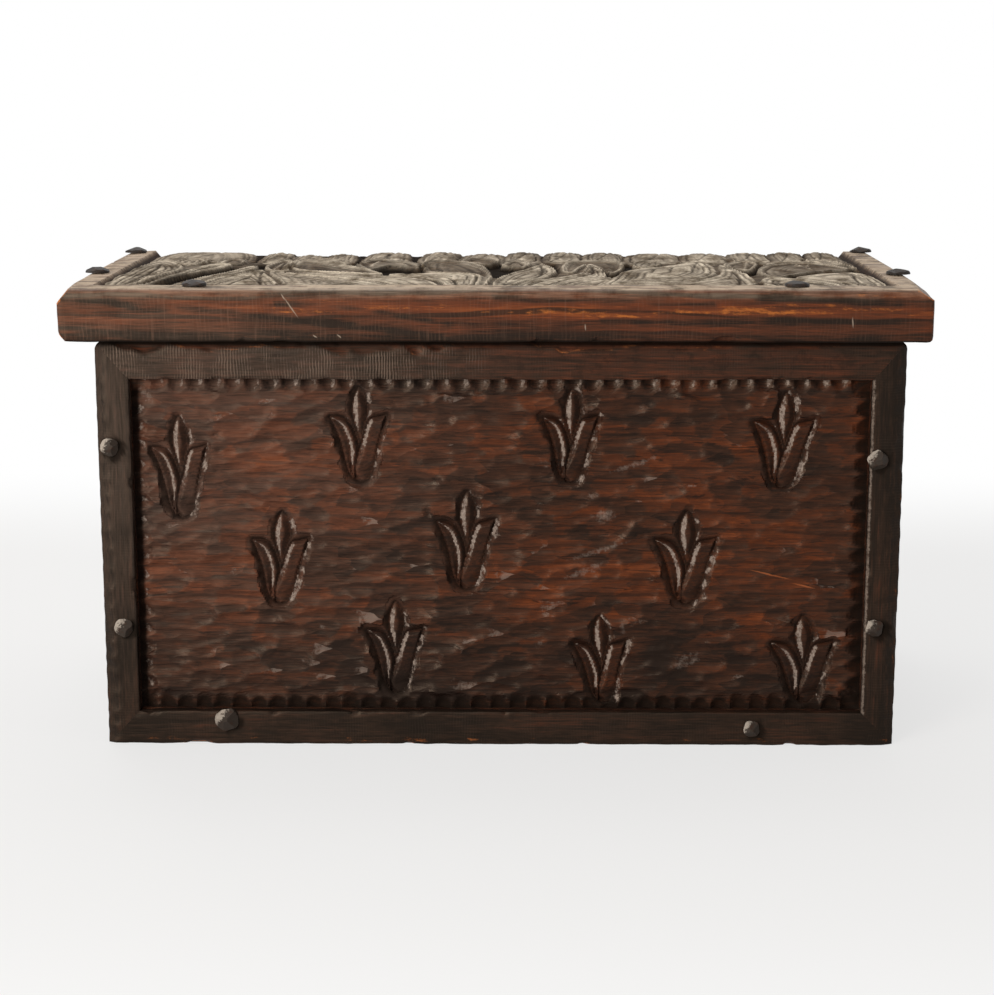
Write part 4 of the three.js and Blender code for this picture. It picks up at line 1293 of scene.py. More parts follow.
def paintStrip(name, along, points, low, worn, rub, red, chipped):
    paint = frameLook["paint"]
    x, z = points[:, 0], points[:, 2]
    onRail, onBottom, onRight = [float(name == n) for n in ("top_rail", "bottom_rail", "right_stile")]
    leftness = smoothStep(-x, -80, 200)
    # bare wood along the bottom edge, the right stile's outer edge and in flecks on the bottom rail
    lowEdge = bell(z - frontLow[2], 3)
    outer = paint["outerRub"] * (bell(x - frontHigh[0], 6) * onRight)
    flecks = smoothStep(softNoise(x / 13, z / 9, 51), -0.2, 0.4) * bell(z - frontLow[2] - 3.4, 2.2)
    rub = np.maximum(rub, np.maximum(outer, paint["fleckRub"] * flecks * onBottom))
    # painted shadow under the lid and beside each nail, and darker on the cut arris
    underLid = smoothStep(z - frontHigh[2], *paint["underLid"])
    shade = smoothStep(chipped, 0.3, 2.5)
    deep = np.maximum(np.maximum(shade * 0.2, underLid), paint["paintedNailShadow"] * nailShade(points))
    tone = paint["railTone"] * onRail * (1 - leftness) + 1.8 * red - 0.9 * onBottom - 0.2 * (along == 2)
    tone = tone - 1.6 * smoothStep(x, bodyMiddle + 205, bodyMiddle + 236)
    lines = 0.75 * smoothStep(bodyMiddle - x, -10, 60) * onRail + 0.05
    # the light catches the right stile's inner arris and the chips' edges on the left
    arris = bell(x - bodyMiddle - openingRight - 0.9, 1.3)
    arris = arris * (points[:, 1] < low[1] + 3) * smoothStep(openingTop + 1.5 - z, 0, 2)
    chipEdge = 0.45 * bell(chipped - 0.4, 0.3) * (x < bodyMiddle)
    chipEdge = chipEdge * smoothStep(softNoise(z / 4, x / 2, 48), -0.1, 0.6)
    # the left and upper part of the frame gets a pale painted sheen, where the window's light falls
    return {
        "wear": worn * (0.25 + 0.65 * lowEdge * (along == 0)),
        "deep": deep,
        "rub": rub,
        "tone": tone,
        "dust": paint["dust"] * leftness * smoothStep(z, -20, 230) * (1 - red),
        "chatter": lines * (1 - red),
        "sheen": np.maximum(paint["arris"] * arris * onRight, chipEdge),
    }


def makeFrame():
    strips = [
        ("top_rail", 0, 2, (openingLeft + bodyMiddle, openingRight + bodyMiddle)),
        ("bottom_rail", 0, 2, (openingLeft + bodyMiddle, openingRight + bodyMiddle)),
        ("left_stile", 2, 0, (openingBottom, openingTop)),
        ("right_stile", 2, 0, (openingBottom, openingTop)),
    ]
    finishes = {
        0: woodFinish("dark frame wood along", woodLooks["frame"], "X"),
        2: woodFinish("dark frame wood upright", woodLooks["frame"], "Z"),
    }
    gap = frameLook["mitreGap"]
    for name, along, across, opening in strips:
        low, high = nodeBox("frame_" + name)
        bm = blankBoard(low, high, (frameLook["cell"],) * 3, frameLook["rounding"], along)
        mesh = newMesh("frame_" + name, bm)
        points, worn = wearBoard(meshPoints(mesh), low, high, frameLook["wear"], along)
        rub, red = np.zeros((2, len(points)))
        if name == "top_rail":
            points, rub, red = scoopRail(points, low, high)
        outside = (frontLow[along] + gap, frontHigh[along] - gap)
        inside = (opening[0] + gap, opening[1] - gap)
        if name in ("bottom_rail", "left_stile"):
            starts, ends = (outside[0], inside[0]), (outside[1], inside[1])
        else:
            starts, ends = (inside[0], outside[0]), (inside[1], outside[1])
        points = slopedEnds(points, low, high, across, along, starts, ends)
        chipped = np.zeros(len(points))
        for side in (-1, 1):
            points, cut = chamferSide(points, low, high, side)
            chipped = np.maximum(chipped, cut)
        points = roundCorners(points)
        setMeshPoints(mesh, points * mm)
        setMarks(mesh, paintStrip(name, along, points, low, worn, rub, red, chipped))
        addPiece("moulding_" + name, mesh, "chest_body", finishes[along], "frame_" + name)


# The plain boards of the body

boardLook = {
    "cell": 5,
    "rounding": 0.9,
    "wear": {
        "seed": 60,
        "wear": 0.8,
        "chip": 14,
        "chipDepth": 1.4,
        "reach": 4,
        "uneven": 0.35,
        "wave": 26,
    },
}


def makeBoards():
    boards = [
        ("back_board", "X"),
        ("left_side_board", "Y"),
        ("right_side_board", "Y"),
        ("bottom_board", "X"),
    ]
    finishes = {along: woodFinish("plain board wood " + along, woodLooks["board"], along) for along in "XY"}
    for index, (name, along) in enumerate(boards):
        low, high = nodeBox(name)
        cell = boardLook["cell"]
        bm = blankBoard(low, high, (cell, cell, cell), boardLook["rounding"])
        mesh = newMesh(name + "_worn", bm)
        look = {**boardLook["wear"], "seed": boardLook["wear"]["seed"] + index}
        points, worn = wearBoard(meshPoints(mesh), low, high, look)
        if "side" in name:
            points = roundCorners(points)
        setMeshPoints(mesh, points * mm)
        # the chest's inside is paler and dustier
        thin = int(np.argmin(high - low))
        bodyCentre = (bodyMiddle, (frontHigh[1] + lidHigh[1]) / 2, frontHigh[2])
        inner = low[thin] if low[thin] > bodyCentre[thin] else high[thin]
        inside = (np.abs(points[:, thin] - inner) < 1.2).astype(float)
        marks = {"wear": worn * (0.8 - 0.2 * inside), "tone": 1.4 * inside - 0.4, "dust": 0.5 * inside}
        setMarks(mesh, marks)
        addPiece("worn_" + name, mesh, "chest_body", finishes[along], name)


# The lid: a plank with a sunk field, and the carved leaves that fill the field

lidLook = {
    "cell": 2.6,
    "rounding": 1.6,
    "seam": 0.15,  # between the two cuts at the field's front edge
    "onLine": 0.01,  # nearer than this counts as on a line
    "field": {
        "cell": 1.1,
        "endStrip": 23.5,
        "frontBorder": 26,
        "depth": 5.5,
        "shallow": 2.1,
        "backDepth": 4.4,
        "clearance": 0.05,
        "slope": 6,
        "bed": 2.0,
    },
    "leafDrop": 0.35,
    "sideSlope": 2.4,
    "leafCuts": {
        "flat": {"hollow": 0.8, "edge": 0.0, "reach": 6, "vein": 1.3, "lines": (3.4, 7.2, 11)},
        "crown": {"hollow": 0.1, "edge": 0.9, "reach": 9, "vein": 1.1, "lines": (4, 8.5)},
        "hollow": {"hollow": 1.7, "edge": 0.0, "reach": 5.5, "vein": -0.9, "lines": (2.2, 6)},
        "deep": {"hollow": 2.8, "edge": 0.0, "reach": 6.5, "vein": -0.8, "lines": (2.6,)},
        "ribbon": {"hollow": 0.3, "edge": 0.4, "reach": 4, "vein": 1.7, "lines": (2.8, 6)},
        "hatch": {"hollow": 1.0, "edge": 0.2, "reach": 6, "vein": 1, "lines": (3,)},
        "lobe": {"hollow": 0.1, "edge": 1.4, "reach": 9, "vein": 0.8, "lines": (5.5,)},
    },
    "paint": {
        "top": (-1.7, -0.35),  # mm from the lid's top
        "topDust": 0.95,
        "frontArris": (2.2, 5.5),  # mm behind the front
        "upperFront": (-7.5, -3),
        "upperDust": 0.2,
        # how pale the painted sheen on the left of the lid's front is
        "leftFrontSheen": 0.042,
        "slopeShade": 0.88,
        "chatter": 0.17,
        "rightTone": 0.9,
    },
    "leafPaint": {
        "pits": (2.0, 4.2),  # painted shade in the pits, mm below the leaves' tops
        "line": 0.55,
        "leaves": (-1.9, -0.3),
        "leafDust": 0.72,
        "leastDust": 0.16,
        "farBack": (-80, -35),  # mm from the back edge
        "backFade": 0.35,
    },
    "frontRadius": (5.5, 2.4),
    "cornerCut": {"left": ((7.5, 9), (5, 6)), "right": ((11, 7), (3, 3))},  # upper and lower, along and down
    "cornerFade": 40,
    "wear": {
        "seed": 80,
        "wear": 1.3,
        "chip": 16,
        "chipDepth": 1.6,
        "reach": 3.2,
        "uneven": 0.3,
        "wave": 20,
    },
}
fieldLow = np.array([lidLow[0] + lidLook["field"]["endStrip"], lidLow[1] + lidLook["field"]["frontBorder"]])
fieldHigh = np.array([lidHigh[0] - lidLook["field"]["endStrip"], lidHigh[1]])
fieldGround = lidHigh[2] - lidLook["field"]["depth"]

# Leaves are drawn on a sheet laid over the field, 136 units long and 68 deep from its front border.
# Each is an outline and its veins; a later leaf lies over an earlier one.
sheet = (136, 67.6)


def leaf(cut, outline, *veins, drop=lidLook["leafDrop"]):
    return {"cut": cut, "outline": outline, "veins": veins, "drop": drop}


leaves = [
    leaf("flat", [(5, 44), (6.5, 52), (10, 54), (12.5, 49), (11.5, 42), (9, 39)]),
    leaf("hollow", [(13.5, 42), (14, 52), (17, 55), (20, 48), (19, 41), (16.2, 40.6)]),
    leaf("flat", [(30, 49), (32, 54), (37, 50), (41, 42), (38, 40), (34.5, 46)]),
    leaf("hollow", [(60, 47), (62, 54), (66, 54), (69, 47), (67, 42), (64, 42)]),
    leaf("hollow", [(68, 38), (69, 47), (71.5, 53), (74, 46), (74.5, 38), (72, 36)]),
    leaf("flat", [(93.5, 43), (96, 50), (99.5, 46), (99, 38), (95, 32), (93, 36)]),
    leaf("flat", [(128, 54), (132, 48), (135.2, 41), (136.5, 28), (134.2, 36), (131, 42), (127, 47)]),
    leaf("hollow", [
        (110.5, 42), (113.5, 46.5), (116.2, 50), (119, 44), (117.2, 37), (115.2, 28), (112.2, 33),
    ], [(116, 46), (114.5, 34)]),
    leaf("hollow", [
        (40.5, 42), (42, 49), (45, 53), (48, 49), (52.5, 44), (54, 37), (54, 32), (50, 37.3),
        (47.5, 38.8), (45.5, 34), (44.5, 30), (42, 35),
    ], [(45, 50), (44, 38)], [(46, 50), (51, 40)]),
    leaf("flat", [
        (-1, -2), (-0.5, 22), (0, 39), (3, 47), (6.5, 42.5), (9.2, 34), (8.8, 27), (6.5, 16), (5.5, -2),
    ], [(3.4, 42), (4.6, 28), (3, 4)]),
    leaf("ribbon", [
        (5.5, -2), (7, 12.8), (10, 24), (11, 32), (12.8, 39), (16.2, 41.5), (18.4, 38), (15, 31),
        (11, 21.8), (8.6, 11.8), (8, -2),
    ], [(15.5, 38), (12.5, 30), (9, 16), (7.5, 2)]),
    leaf("ribbon", [
        (11, -2), (13, 10.8), (16.2, 19.8), (18.5, 28.8), (20, 35), (22.8, 39.5), (23.6, 33), (22, 27.5),
        (19, 19.8), (16.6, 11.8), (15, -2),
    ], [(22, 34), (17.5, 19), (14.5, 4)]),
    leaf("flat", [
        (15, -2), (17, 10.8), (20.4, 19.8), (24.5, 31.5), (26.2, 19.8), (28.6, 11.8), (31, -2),
    ], [(24.7, 27), (25.6, 14), (27.4, 1)], [(23.6, 17), (21, 2)]),
    leaf("hatch", [
        (32, -2), (29.4, 11.8), (27, 19.8), (25.6, 28.6), (30, 22), (35, 17), (42, 13), (47.5, 7.6),
        (51.5, -2),
    ]),
    leaf("hollow", [
        (24.5, 31), (23.2, 38), (25, 47), (27.2, 50), (28.6, 47), (28.6, 33), (30, 27.3), (28, 26.6),
    ], [(26.8, 46), (26.3, 33)]),
    leaf("hollow", [
        (28.8, 49), (28.8, 34), (31.5, 27.8), (38, 23.8), (46, 21.3), (48, 23), (46, 28), (42.5, 33),
        (38, 40), (34, 46.2), (30.8, 49.4),
    ], [(32.6, 44.5), (37.4, 37.5), (42.8, 28.5)]),
    leaf("ribbon", [
        (25.2, 30.6), (27.5, 26.6), (30, 24.8), (35, 22.8), (46, 19.3), (52, 16), (56.5, 9.8), (59, -2),
        (52.3, -2), (48.2, 8.3), (42.4, 14), (35.2, 18), (30, 22.6),
    ], [(29, 25), (36, 20.6), (46, 16.4), (51.6, 10.5), (55, 0)]),
    leaf("deep", [
        (54, 48.5), (59, 49), (63, 43.5), (65.7, 35), (67.4, 27), (67.4, 16), (66, -2), (64, -2),
        (64.8, 11.8), (64.5, 22.6), (55, 23.6), (54, 32), (53.2, 42),
    ], [(57, 46), (61, 36), (62, 26)]),
    leaf("ribbon", [
        (48, 22), (55, 23), (64.2, 22), (64.5, 11.8), (63.4, -2), (59.6, -2), (58.2, 9.6), (54, 15.8),
        (48.6, 19.4),
    ], [(51, 20.6), (57, 18.4), (60.4, 12.6), (61.4, 0)]),
    leaf("deep", [
        (79.8, 25), (79.9, 37), (81.5, 46), (84.5, 48.4), (91, 48.4), (92.9, 43.4), (91.5, 30), (89, 22),
        (87.5, 29), (85.5, 42), (83.5, 32), (82.5, 24),
    ], [(88.6, 45), (89.4, 30)]),
    leaf("flat", [
        (67, -2), (68.2, 15), (70, 23), (73.5, 30), (75.2, 36), (76.2, 43), (78.5, 36.6), (79.5, 29),
        (78.5, 20), (76, 14), (72.5, 8), (70.2, -2),
    ], [(76.2, 37), (76.6, 28), (75.8, 18), (71.5, 9), (68.6, 0)]),
    leaf("ribbon", [
        (70.6, -2), (73.6, 9), (79, 15), (83, 21.6), (84.3, 32), (85.2, 43.4), (87, 37), (88.2, 28),
        (88.5, 18), (85.5, 12), (81, 7), (78.4, -2),
    ], [(85.8, 36), (85.9, 21), (80, 10.5), (76, 0)], [(83, 18), (77, 11), (73.4, 0)]),
    leaf("flat", [(78.8, -2), (81.5, 6), (86, 11.6), (89.6, 16), (90, 11.8), (88.4, 6.8), (86, -2)]),
    leaf("flat", [
        (87, -2), (93, 3.4), (100, 6.2), (106, 12.6), (109.2, 21), (109.9, 43.5), (111.8, 34),
        (113.5, 26), (114, 16), (114, -2),
    ], [(111.6, 28), (111.8, 14), (110, 2)]),
    leaf("crown", [
        (86, 2.8), (88.5, 11.8), (89.8, 21.8), (90.5, 27), (94, 32), (99, 37), (102, 41), (104.5, 46.8),
        (106.8, 49), (108.6, 45), (109, 34), (108.2, 22), (105, 14), (99, 8), (92, 4.2),
    ],
        [(106.4, 45), (105.4, 38), (103.8, 24)],
        [(101, 35), (99.6, 24)],
        [(97.4, 31), (96.2, 23)],
        [(104, 12), (96, 9), (90, 6)],
    ),
    leaf("flat", [
        (114.6, -2), (115, 14.6), (118, 15.2), (123.4, 11.2), (127.3, 6), (128.8, -2),
    ], [(117, 12), (121, 6), (123, 0)], [(116.4, 8), (117.6, 0)]),
    leaf("crown", [
        (129.6, -2), (128, 6.8), (124.2, 11.8), (120.4, 16), (125, 21.6), (130, 25), (134.8, 26.2),
        (136.6, 16), (136.6, -2),
    ], [(133, 22), (131.6, 12), (132.4, 0)]),
    leaf("hollow", [
        (116.8, 17.6), (115.6, 28), (117.5, 37.4), (121, 44), (127, 46.4), (131.5, 42.4), (134, 37),
        (134.8, 32), (130, 30), (125, 25.4), (122, 20.4), (119.6, 17),
    ], [(125, 42), (126.4, 38), (126.8, 33.6)], [(127.4, 42), (126.6, 38)]),
]
# The row of lobes along the back: place and half width on the sheet, and mm below the lid's top
backRow = [
    (9.8, 9.4, 1.6), (24, 3, 1.7), (30, 3.2, 3.2), (36.6, 3.1, 2.2), (46, 4.6, 1.3), (56.7, 4.2, 1.3),
    (65, 4.4, 2.4), (73, 3.6, 0.9), (81, 4.1, 1.1), (89, 4.3, 1.6), (99.2, 6, 2.3), (109, 4.8, 2.0),
    (118, 4.4, 1.4), (125.6, 3.9, 1.1), (132.4, 3.4, 0.9),
]
backLobes = [
    leaf("lobe", [
        (at - half * 1.1, 45), (at - half * 1.1, 60), (at - half * 0.8, 71),
        (at + half * 0.8, 71), (at + half * 1.1, 60), (at + half * 1.1, 45),
    ], [(at - half * 0.7, 48), (at - half * 0.1, 58), (at + half * 0.35, 72)], drop=drop)
    for at, half, drop in backRow
]


def onSheet(points):
    return fieldLow + np.asarray(points, float) / np.array(sheet) * (fieldHigh - fieldLow)


def groove(distance, depth, half):
    return -depth * np.clip(1 - np.abs(distance) / half, 0, 1)


def nearestRepeat(value, pitch):
    return (value / pitch - np.round(value / pitch)) * pitch


# The deep places between the leaves: a path on the sheet and the half width along it
pockets = [
    {"path": [(8.5, 4.5), (12, 16), (15, 26), (18.5, 35)], "half": 2.4},
    {"path": [(20, 18), (22, 32), (24.5, 43)], "half": 1.3},
    {"path": [(47, 26), (48.5, 34)], "half": 2.2},
    {"path": [(52.5, 25), (53.5, 34)], "half": 1.9},
    {"path": [(68.5, 22), (70, 34), (69, 43)], "half": 2.4},
    {"path": [(77, 20), (78, 32), (77.5, 44)], "half": 0.9},
    {"path": [(88.5, 20), (90.5, 32), (92.5, 46)], "half": 1.8},
    {"path": [(112.5, 26), (114.5, 34), (115.5, 43)], "half": 2.2},
    {"path": [(122.5, 19), (128, 25), (134.5, 31)], "half": 2.3},
    {"path": [(128.5, 52), (133.5, 40), (135.6, 24), (136, 2)], "half": 1.5},
    {"path": [(0, 0), (0, 60)], "half": 1.6},
    {"path": [(39, 43), (39.5, 53)], "half": 1.4},
    {"path": [(107, 44), (110.5, 52)], "half": 1.3},
]


def groundDepth(x, y):
    # How deep the ground lies under the lid's top: shallow, but for the pockets and the back.
    look = lidLook["field"]
    share = (y - fieldLow[1]) / (fieldHigh[1] - fieldLow[1]) * sheet[1]
    depth = look["shallow"] + (look["backDepth"] - look["shallow"]) * smoothStep(share, 45, 53)
    scale = (fieldHigh[0] - fieldLow[0]) / sheet[0]
    for pocket in pockets:
        distance = pathDistance(x, y, roundedPath(onSheet(pocket["path"])))[0]
        there = 1 - smoothStep(distance / scale, pocket["half"], pocket["half"] * 1.7 + 0.8)
        depth = np.maximum(depth, look["shallow"] + (look["depth"] - look["shallow"]) * there)
    return depth


def leafTop(shape, x, y, inside):
    # The face of a leaf below the lid's top, and how deep its lines and veins are.
    cut = shape["cut"]
    look = lidLook["leafCuts"][cut]
    top = -shape["drop"] - look["hollow"] * smoothStep(inside, 1.8, look["reach"])
    top = top - look["edge"] * (1 - smoothStep(inside, 0, look["reach"]))
    lines = np.zeros(x.shape)
    for line in look["lines"]:
        lines = np.minimum(lines, groove(inside - line, 0.8, 1.2))
    if cut == "hatch":
        lines = np.minimum(lines, groove(nearestRepeat(x + y * 0.7, 7.5), 0.7, 1.1))
        lines = np.minimum(lines, groove(nearestRepeat(x - y * 0.9, 8.5), 0.6, 1.1))
    raised = np.zeros(x.shape)
    for vein in shape["veins"]:
        distance = pathDistance(x, y, roundedPath(onSheet(vein)))[0]
        cutIn = groove(distance, look["vein"], 1.6)
        lines, raised = np.minimum(lines, cutIn), np.maximum(raised, cutIn)
    return top + lines + raised, lines


def carveField(x, y):
    # The field's surface below the lid's top, how far it lies under its leaf, its lines and its combing.
    depth = groundDepth(x, y)
    combed = np.zeros(x.shape)
    surface = -depth + 0.3 * layeredNoise(x / 4.5, y / 4.5, 51)
    level, lines = np.full(x.shape, 0.35), np.zeros(x.shape)
    for index, shape in enumerate([*backLobes, *leaves]):
        outline = onSheet(shape["outline"])
        closed = np.concatenate([outline, outline[:1]])
        outline = roundedPath(np.concatenate([closed[-2:-1], closed]))[:-1]
        near = within(x, y, outline, 6)
        nearX, nearY, under = x[near], y[near], depth[near]
        distance = pathDistance(nearX, nearY, outline, closed=True)[0]
        inside = np.where(insideOutline(nearX, nearY, outline), distance, -distance)
        inside = inside + 0.35 * layeredNoise(nearX / 13, nearY / 13, 57, 2)
        top, cuts = leafTop(shape, nearX, nearY, inside)
        under = np.maximum(under, shape["drop"] + 1.6)
        top = np.minimum(top, -under + 0.4 + inside * lidLook["sideSlope"])
        beside = -0.9 * under - inside * 1.3
        below = surface[near]
        below = np.where(inside > -2, np.minimum(below, beside), below)
        surface[near] = np.where(inside > 0, np.maximum(top, -under), below)
        level[near] = np.where(inside > 0, shape["drop"], level[near])
        rimLine = groove(inside, 0.6, 0.9)
        lines[near] = np.where(inside > 0, np.minimum(cuts, rimLine), np.minimum(lines[near], rimLine))
        comb = softNoise(inside / 0.8, nearY / 60 + 5 * index, 61)
        comb = comb + softNoise(inside / 2.1, nearY / 40 + index, 62)
        combed[near] = np.where(inside > 0, comb, combed[near])
    surface = surface + 0.3 * layeredNoise(x / 19, y / 19, 59, 2) + 0.05 * layeredNoise(x / 3, y / 3, 58, 2)
    surface = np.clip(surface, -lidLook["field"]["depth"] - 1.4, -0.1)
    return surface + 0.12 * combed, surface + level, lines, combed


def makeLidCarving(finish):
    look, paint = lidLook["field"], lidLook["leafPaint"]
    low, high = fieldLow + look["clearance"], fieldHigh.copy()
    high[0] -= look["clearance"]
    size, middle = high - low, (low + high) / 2
    bm = bmesh.new()
    place = Matrix.Translation((*middle, 0)) @ Matrix.Diagonal((*size, 1, 1))
    counts = [round(span / look["cell"]) for span in size]
    bmesh.ops.create_grid(bm, x_segments=counts[0], y_segments=counts[1], size=0.5, matrix=place)
    carved = len(bm.verts)
    rim = [edge for edge in bm.edges if edge.is_boundary]
    grown = bmesh.ops.extrude_edge_only(bm, edges=rim)["geom"]
    for v in pick(grown, bmesh.types.BMVert):
        v.co.z = fieldGround - look["bed"] + look["clearance"]
    bmesh.ops.edgeloop_fill(bm, edges=pick(grown, bmesh.types.BMEdge))
    faceOut(bm)
    mesh = newMesh("lid_foliage", bm)
    points = meshPoints(mesh)
    surface, lift, lines, combed = carveField(points[:carved, 0], points[:carved, 1])
    points[:carved, 2] = lidHigh[2] + surface
    setMeshPoints(mesh, points * mm)
    # painted shade in the pits and cut lines, and the dust lies thickest on the leaves, less so far back
    deep = np.maximum(smoothStep(-lift, *paint["pits"]), paint["line"] * smoothStep(-lines, 0.2, 0.7))
    dust = paint["leastDust"] + paint["leafDust"] * smoothStep(lift, *paint["leaves"])
    farBack = smoothStep(points[:carved, 1] - fieldHigh[1], *paint["farBack"])
    dust = dust * (1 - paint["backFade"] * farBack) * (0.85 + 0.45 * combed)
    rest = np.zeros(len(points) - carved)
    marks = {"deep": deep, "dust": dust, "tone": combed}
    setMarks(mesh, {name: np.concatenate([values, rest]) for name, values in marks.items()})
    addPiece("lid_foliage", mesh, "lid", finish, "lid_plank", crease=32)


def roundLid(points):
    fade = 0.35 + 0.65 * np.exp(-np.maximum(points[:, 1] - lidLow[1], 0) / lidLook["cornerFade"])
    front, top, under = (lidLow[1], 1), (lidHigh[2], -1), (lidLow[2], 1)
    upper, lower = lidLook["frontRadius"]
    points = roundEdge(points, 1, front, 2, top, upper)
    points = roundEdge(points, 1, front, 2, under, lower)
    bare = np.zeros(len(points))
    for side, face in (("left", (lidLow[0], 1)), ("right", (lidHigh[0], -1))):
        for end, corner in ((top, lidLook["cornerCut"][side][0]), (under, lidLook["cornerCut"][side][1])):
            points, edge = cutEdge(points, 0, face, 2, end, corner[0] * fade, corner[1] * fade)
            bare = np.maximum(bare, edge)
        points = roundEdge(points, 0, face, 1, front, 2.0)
    return points, bare


# Rubbed and dark bands on the lid's front: from and to as shares of its length, middle and half height as
# shares of its thickness, how rubbed it is and its tone
lidBands = [
    (0.12, 0.62, 0.68, 0.2, 0.45, 1.7), (0.2, 0.62, 0.62, 0.06, 0.86, 0.6),
    (0.1, 0.5, 0.86, 0.05, 0.8, 0.5), (0.5, 0.9, 0.56, 0.07, 1.12, 1.6),
    (0.72, 0.97, 0.7, 0.05, 1.0, 1.2), (0.86, 1.1, 0.86, 0.07, 0.8, 1.2),
    (0.93, 1.1, 0.5, 0.2, 0.6, 1.2), (0.3, 0.7, 0.25, 0.15, 0, 0.5),
    (-0.1, 1.1, 0.06, 0.13, 0, -1.8), (0.06, 0.3, 0.22, 0.16, 0, -1.4),
    (0.45, 0.62, 0.2, 0.2, 0, -1.2), (0.44, 0.56, 0.86, 0.06, 0, -1.2),
    (-0.1, 0.14, 0.82, 0.09, 0.3, -1.4), (0.68, 0.98, 0.36, 0.06, 0, -1.6),
    (0.85, 1.1, 0.76, 0.04, 0, -1.6),
]
# Dark rings that run out on the lid's front: points as shares of its length and thickness
lidRings = [
    {
        "path": [
            (0.005, 0.85), (0.043, 0.82), (0.073, 0.72), (0.105, 0.56), (0.142, 0.65), (0.186, 0.58),
            (0.234, 0.5), (0.312, 0.37), (0.35, 0.29), (0.408, 0.2), (0.45, 0.06),
        ],
        "width": 1.5,
    },
    {"path": [(0.25, 0.73), (0.312, 0.69), (0.364, 0.6), (0.402, 0.48), (0.45, 0.35)], "width": 0.9},
    {"path": [(0, 0.29), (0.035, 0.25), (0.073, 0.18), (0.13, 0.08)], "width": 1.4},
    {"path": [(0.62, 0.42), (0.72, 0.38), (0.84, 0.4), (0.93, 0.45), (0.97, 0.47)], "width": 1.1},
    {"path": [(0.8, 0.83), (0.88, 0.8), (0.96, 0.76)], "width": 1.6},
    {"path": [(0.5, 0.85), (0.62, 0.78), (0.75, 0.72)], "width": 1.0},
]


def lidFrontMarks(points):
    share = (points[:, 0] - lidLow[0]) / (lidHigh[0] - lidLow[0])
    up = (points[:, 2] - lidLow[2]) / (lidHigh[2] - lidLow[2])
    face = smoothStep(lidLow[1] + 9 - points[:, 1], 0, 4)
    rub, tone = np.zeros(len(points)), np.zeros(len(points))
    for start, end, middle, half, rubbed, stain in lidBands:
        there = smoothStep(share, start - 0.05, start + 0.05) * smoothStep(end - share, -0.05, 0.05)
        drift = 0.06 * softNoise(share * 14, middle * 7, 91)
        there = there * bell(up - middle - drift, half) * face
        rub = np.maximum(rub, rubbed * there)
        tone = tone + stain * there
    size = (lidHigh - lidLow)[[0, 2]]
    for ring in lidRings:
        path = roundedPath(ring["path"]) * size
        distance = pathDistance(share * size[0], up * size[1], path)[0]
        width = ring["width"] * (1 + 0.5 * softNoise(share * 60, up * 3, 93))
        onRing = bell(distance, width) * face
        tone, rub = tone - 3.6 * onRing, rub * (1 - onRing)
    return rub, tone


def sinkField(start, points):
    # Presses the field down to its bed, with a slope along each end strip. Returns too which points lie in
    # the field, which on a slope, and how far out from the field each point is.
    slope, near = lidLook["field"]["slope"], lidLook["onLine"]
    inField = (start[:, 0] > fieldLow[0] - near) & (start[:, 0] < fieldHigh[0] + near)
    inField &= start[:, 1] > fieldLow[1] - near
    bed = fieldGround - lidLook["field"]["bed"]
    squeezed = lidLow[2] + (start[:, 2] - lidLow[2]) * (bed - lidLow[2]) / (lidHigh[2] - lidLow[2])
    points[inField, 2] = squeezed[inField]
    outside = np.maximum(fieldLow[0] - start[:, 0], start[:, 0] - fieldHigh[0])
    besideField = (outside > near) & (outside < slope + near) & (start[:, 1] > fieldLow[1] - near)
    onSlope = besideField & (outside < slope - near)
    points[:, 2] -= np.where(onSlope, (1 - outside / slope) * (points[:, 2] - squeezed), 0)
    return points, inField, besideField, outside


def paintPlank(start, points, worn, bare, inField, besideField, outside):
    paint, slope = lidLook["paint"], lidLook["field"]["slope"]
    across, up = points[:, 1] - lidLow[1], points[:, 2]
    onTop = smoothStep(up - lidHigh[2], *paint["top"])
    onTop = onTop * (0.35 + 0.65 * smoothStep(across, *paint["frontArris"]))
    onTop = np.maximum(onTop, paint["upperDust"] * smoothStep(up - lidHigh[2], *paint["upperFront"]))
    underside = smoothStep(lidLow[2] + 2.4 - up, 0, 1.6) * (across < 8)
    onFront = smoothStep(6 - across, 0, 3)
    share = (points[:, 0] - lidLow[0]) / (lidHigh[0] - lidLow[0])
    rub, tone = lidFrontMarks(points)
    tone = tone + 0.1 * smoothStep(up - lidHigh[2], -7, -3) * (across < 12)
    # painted shade: the bed under the carving is black, the slopes beside the field are dark, and so is the
    # lid's lower front edge, where its shadow line falls
    beside = besideField & (start[:, 2] > lidLow[2] + 9)
    shaded = paint["slopeShade"] * (1 - smoothStep(outside, slope * 0.7, slope))
    bedded = inField & (start[:, 2] > lidHigh[2] - 3)
    # painted sheen: the left of the lid's front is a little paler, where the window's light falls
    leftFrontSheen = paint["leftFrontSheen"] * onFront * smoothStep(-share, -0.6, 0)
    dust = np.where(inField, 0, np.maximum(onTop * paint["topDust"], leftFrontSheen))
    return {
        "wear": np.where(inField, 0, np.maximum(worn * 0.45, 0.95 * bare * (across < 10))),
        "chatter": paint["chatter"] * onFront * (1 - 0.6 * share),
        "deep": np.where(bedded, 1, np.where(beside, shaded, underside)),
        "dust": np.where(beside, dust * (0.4 + 0.6 * outside / slope), dust),
        "rub": rub,
        "tone": tone + paint["rightTone"] * share * onFront,
    }


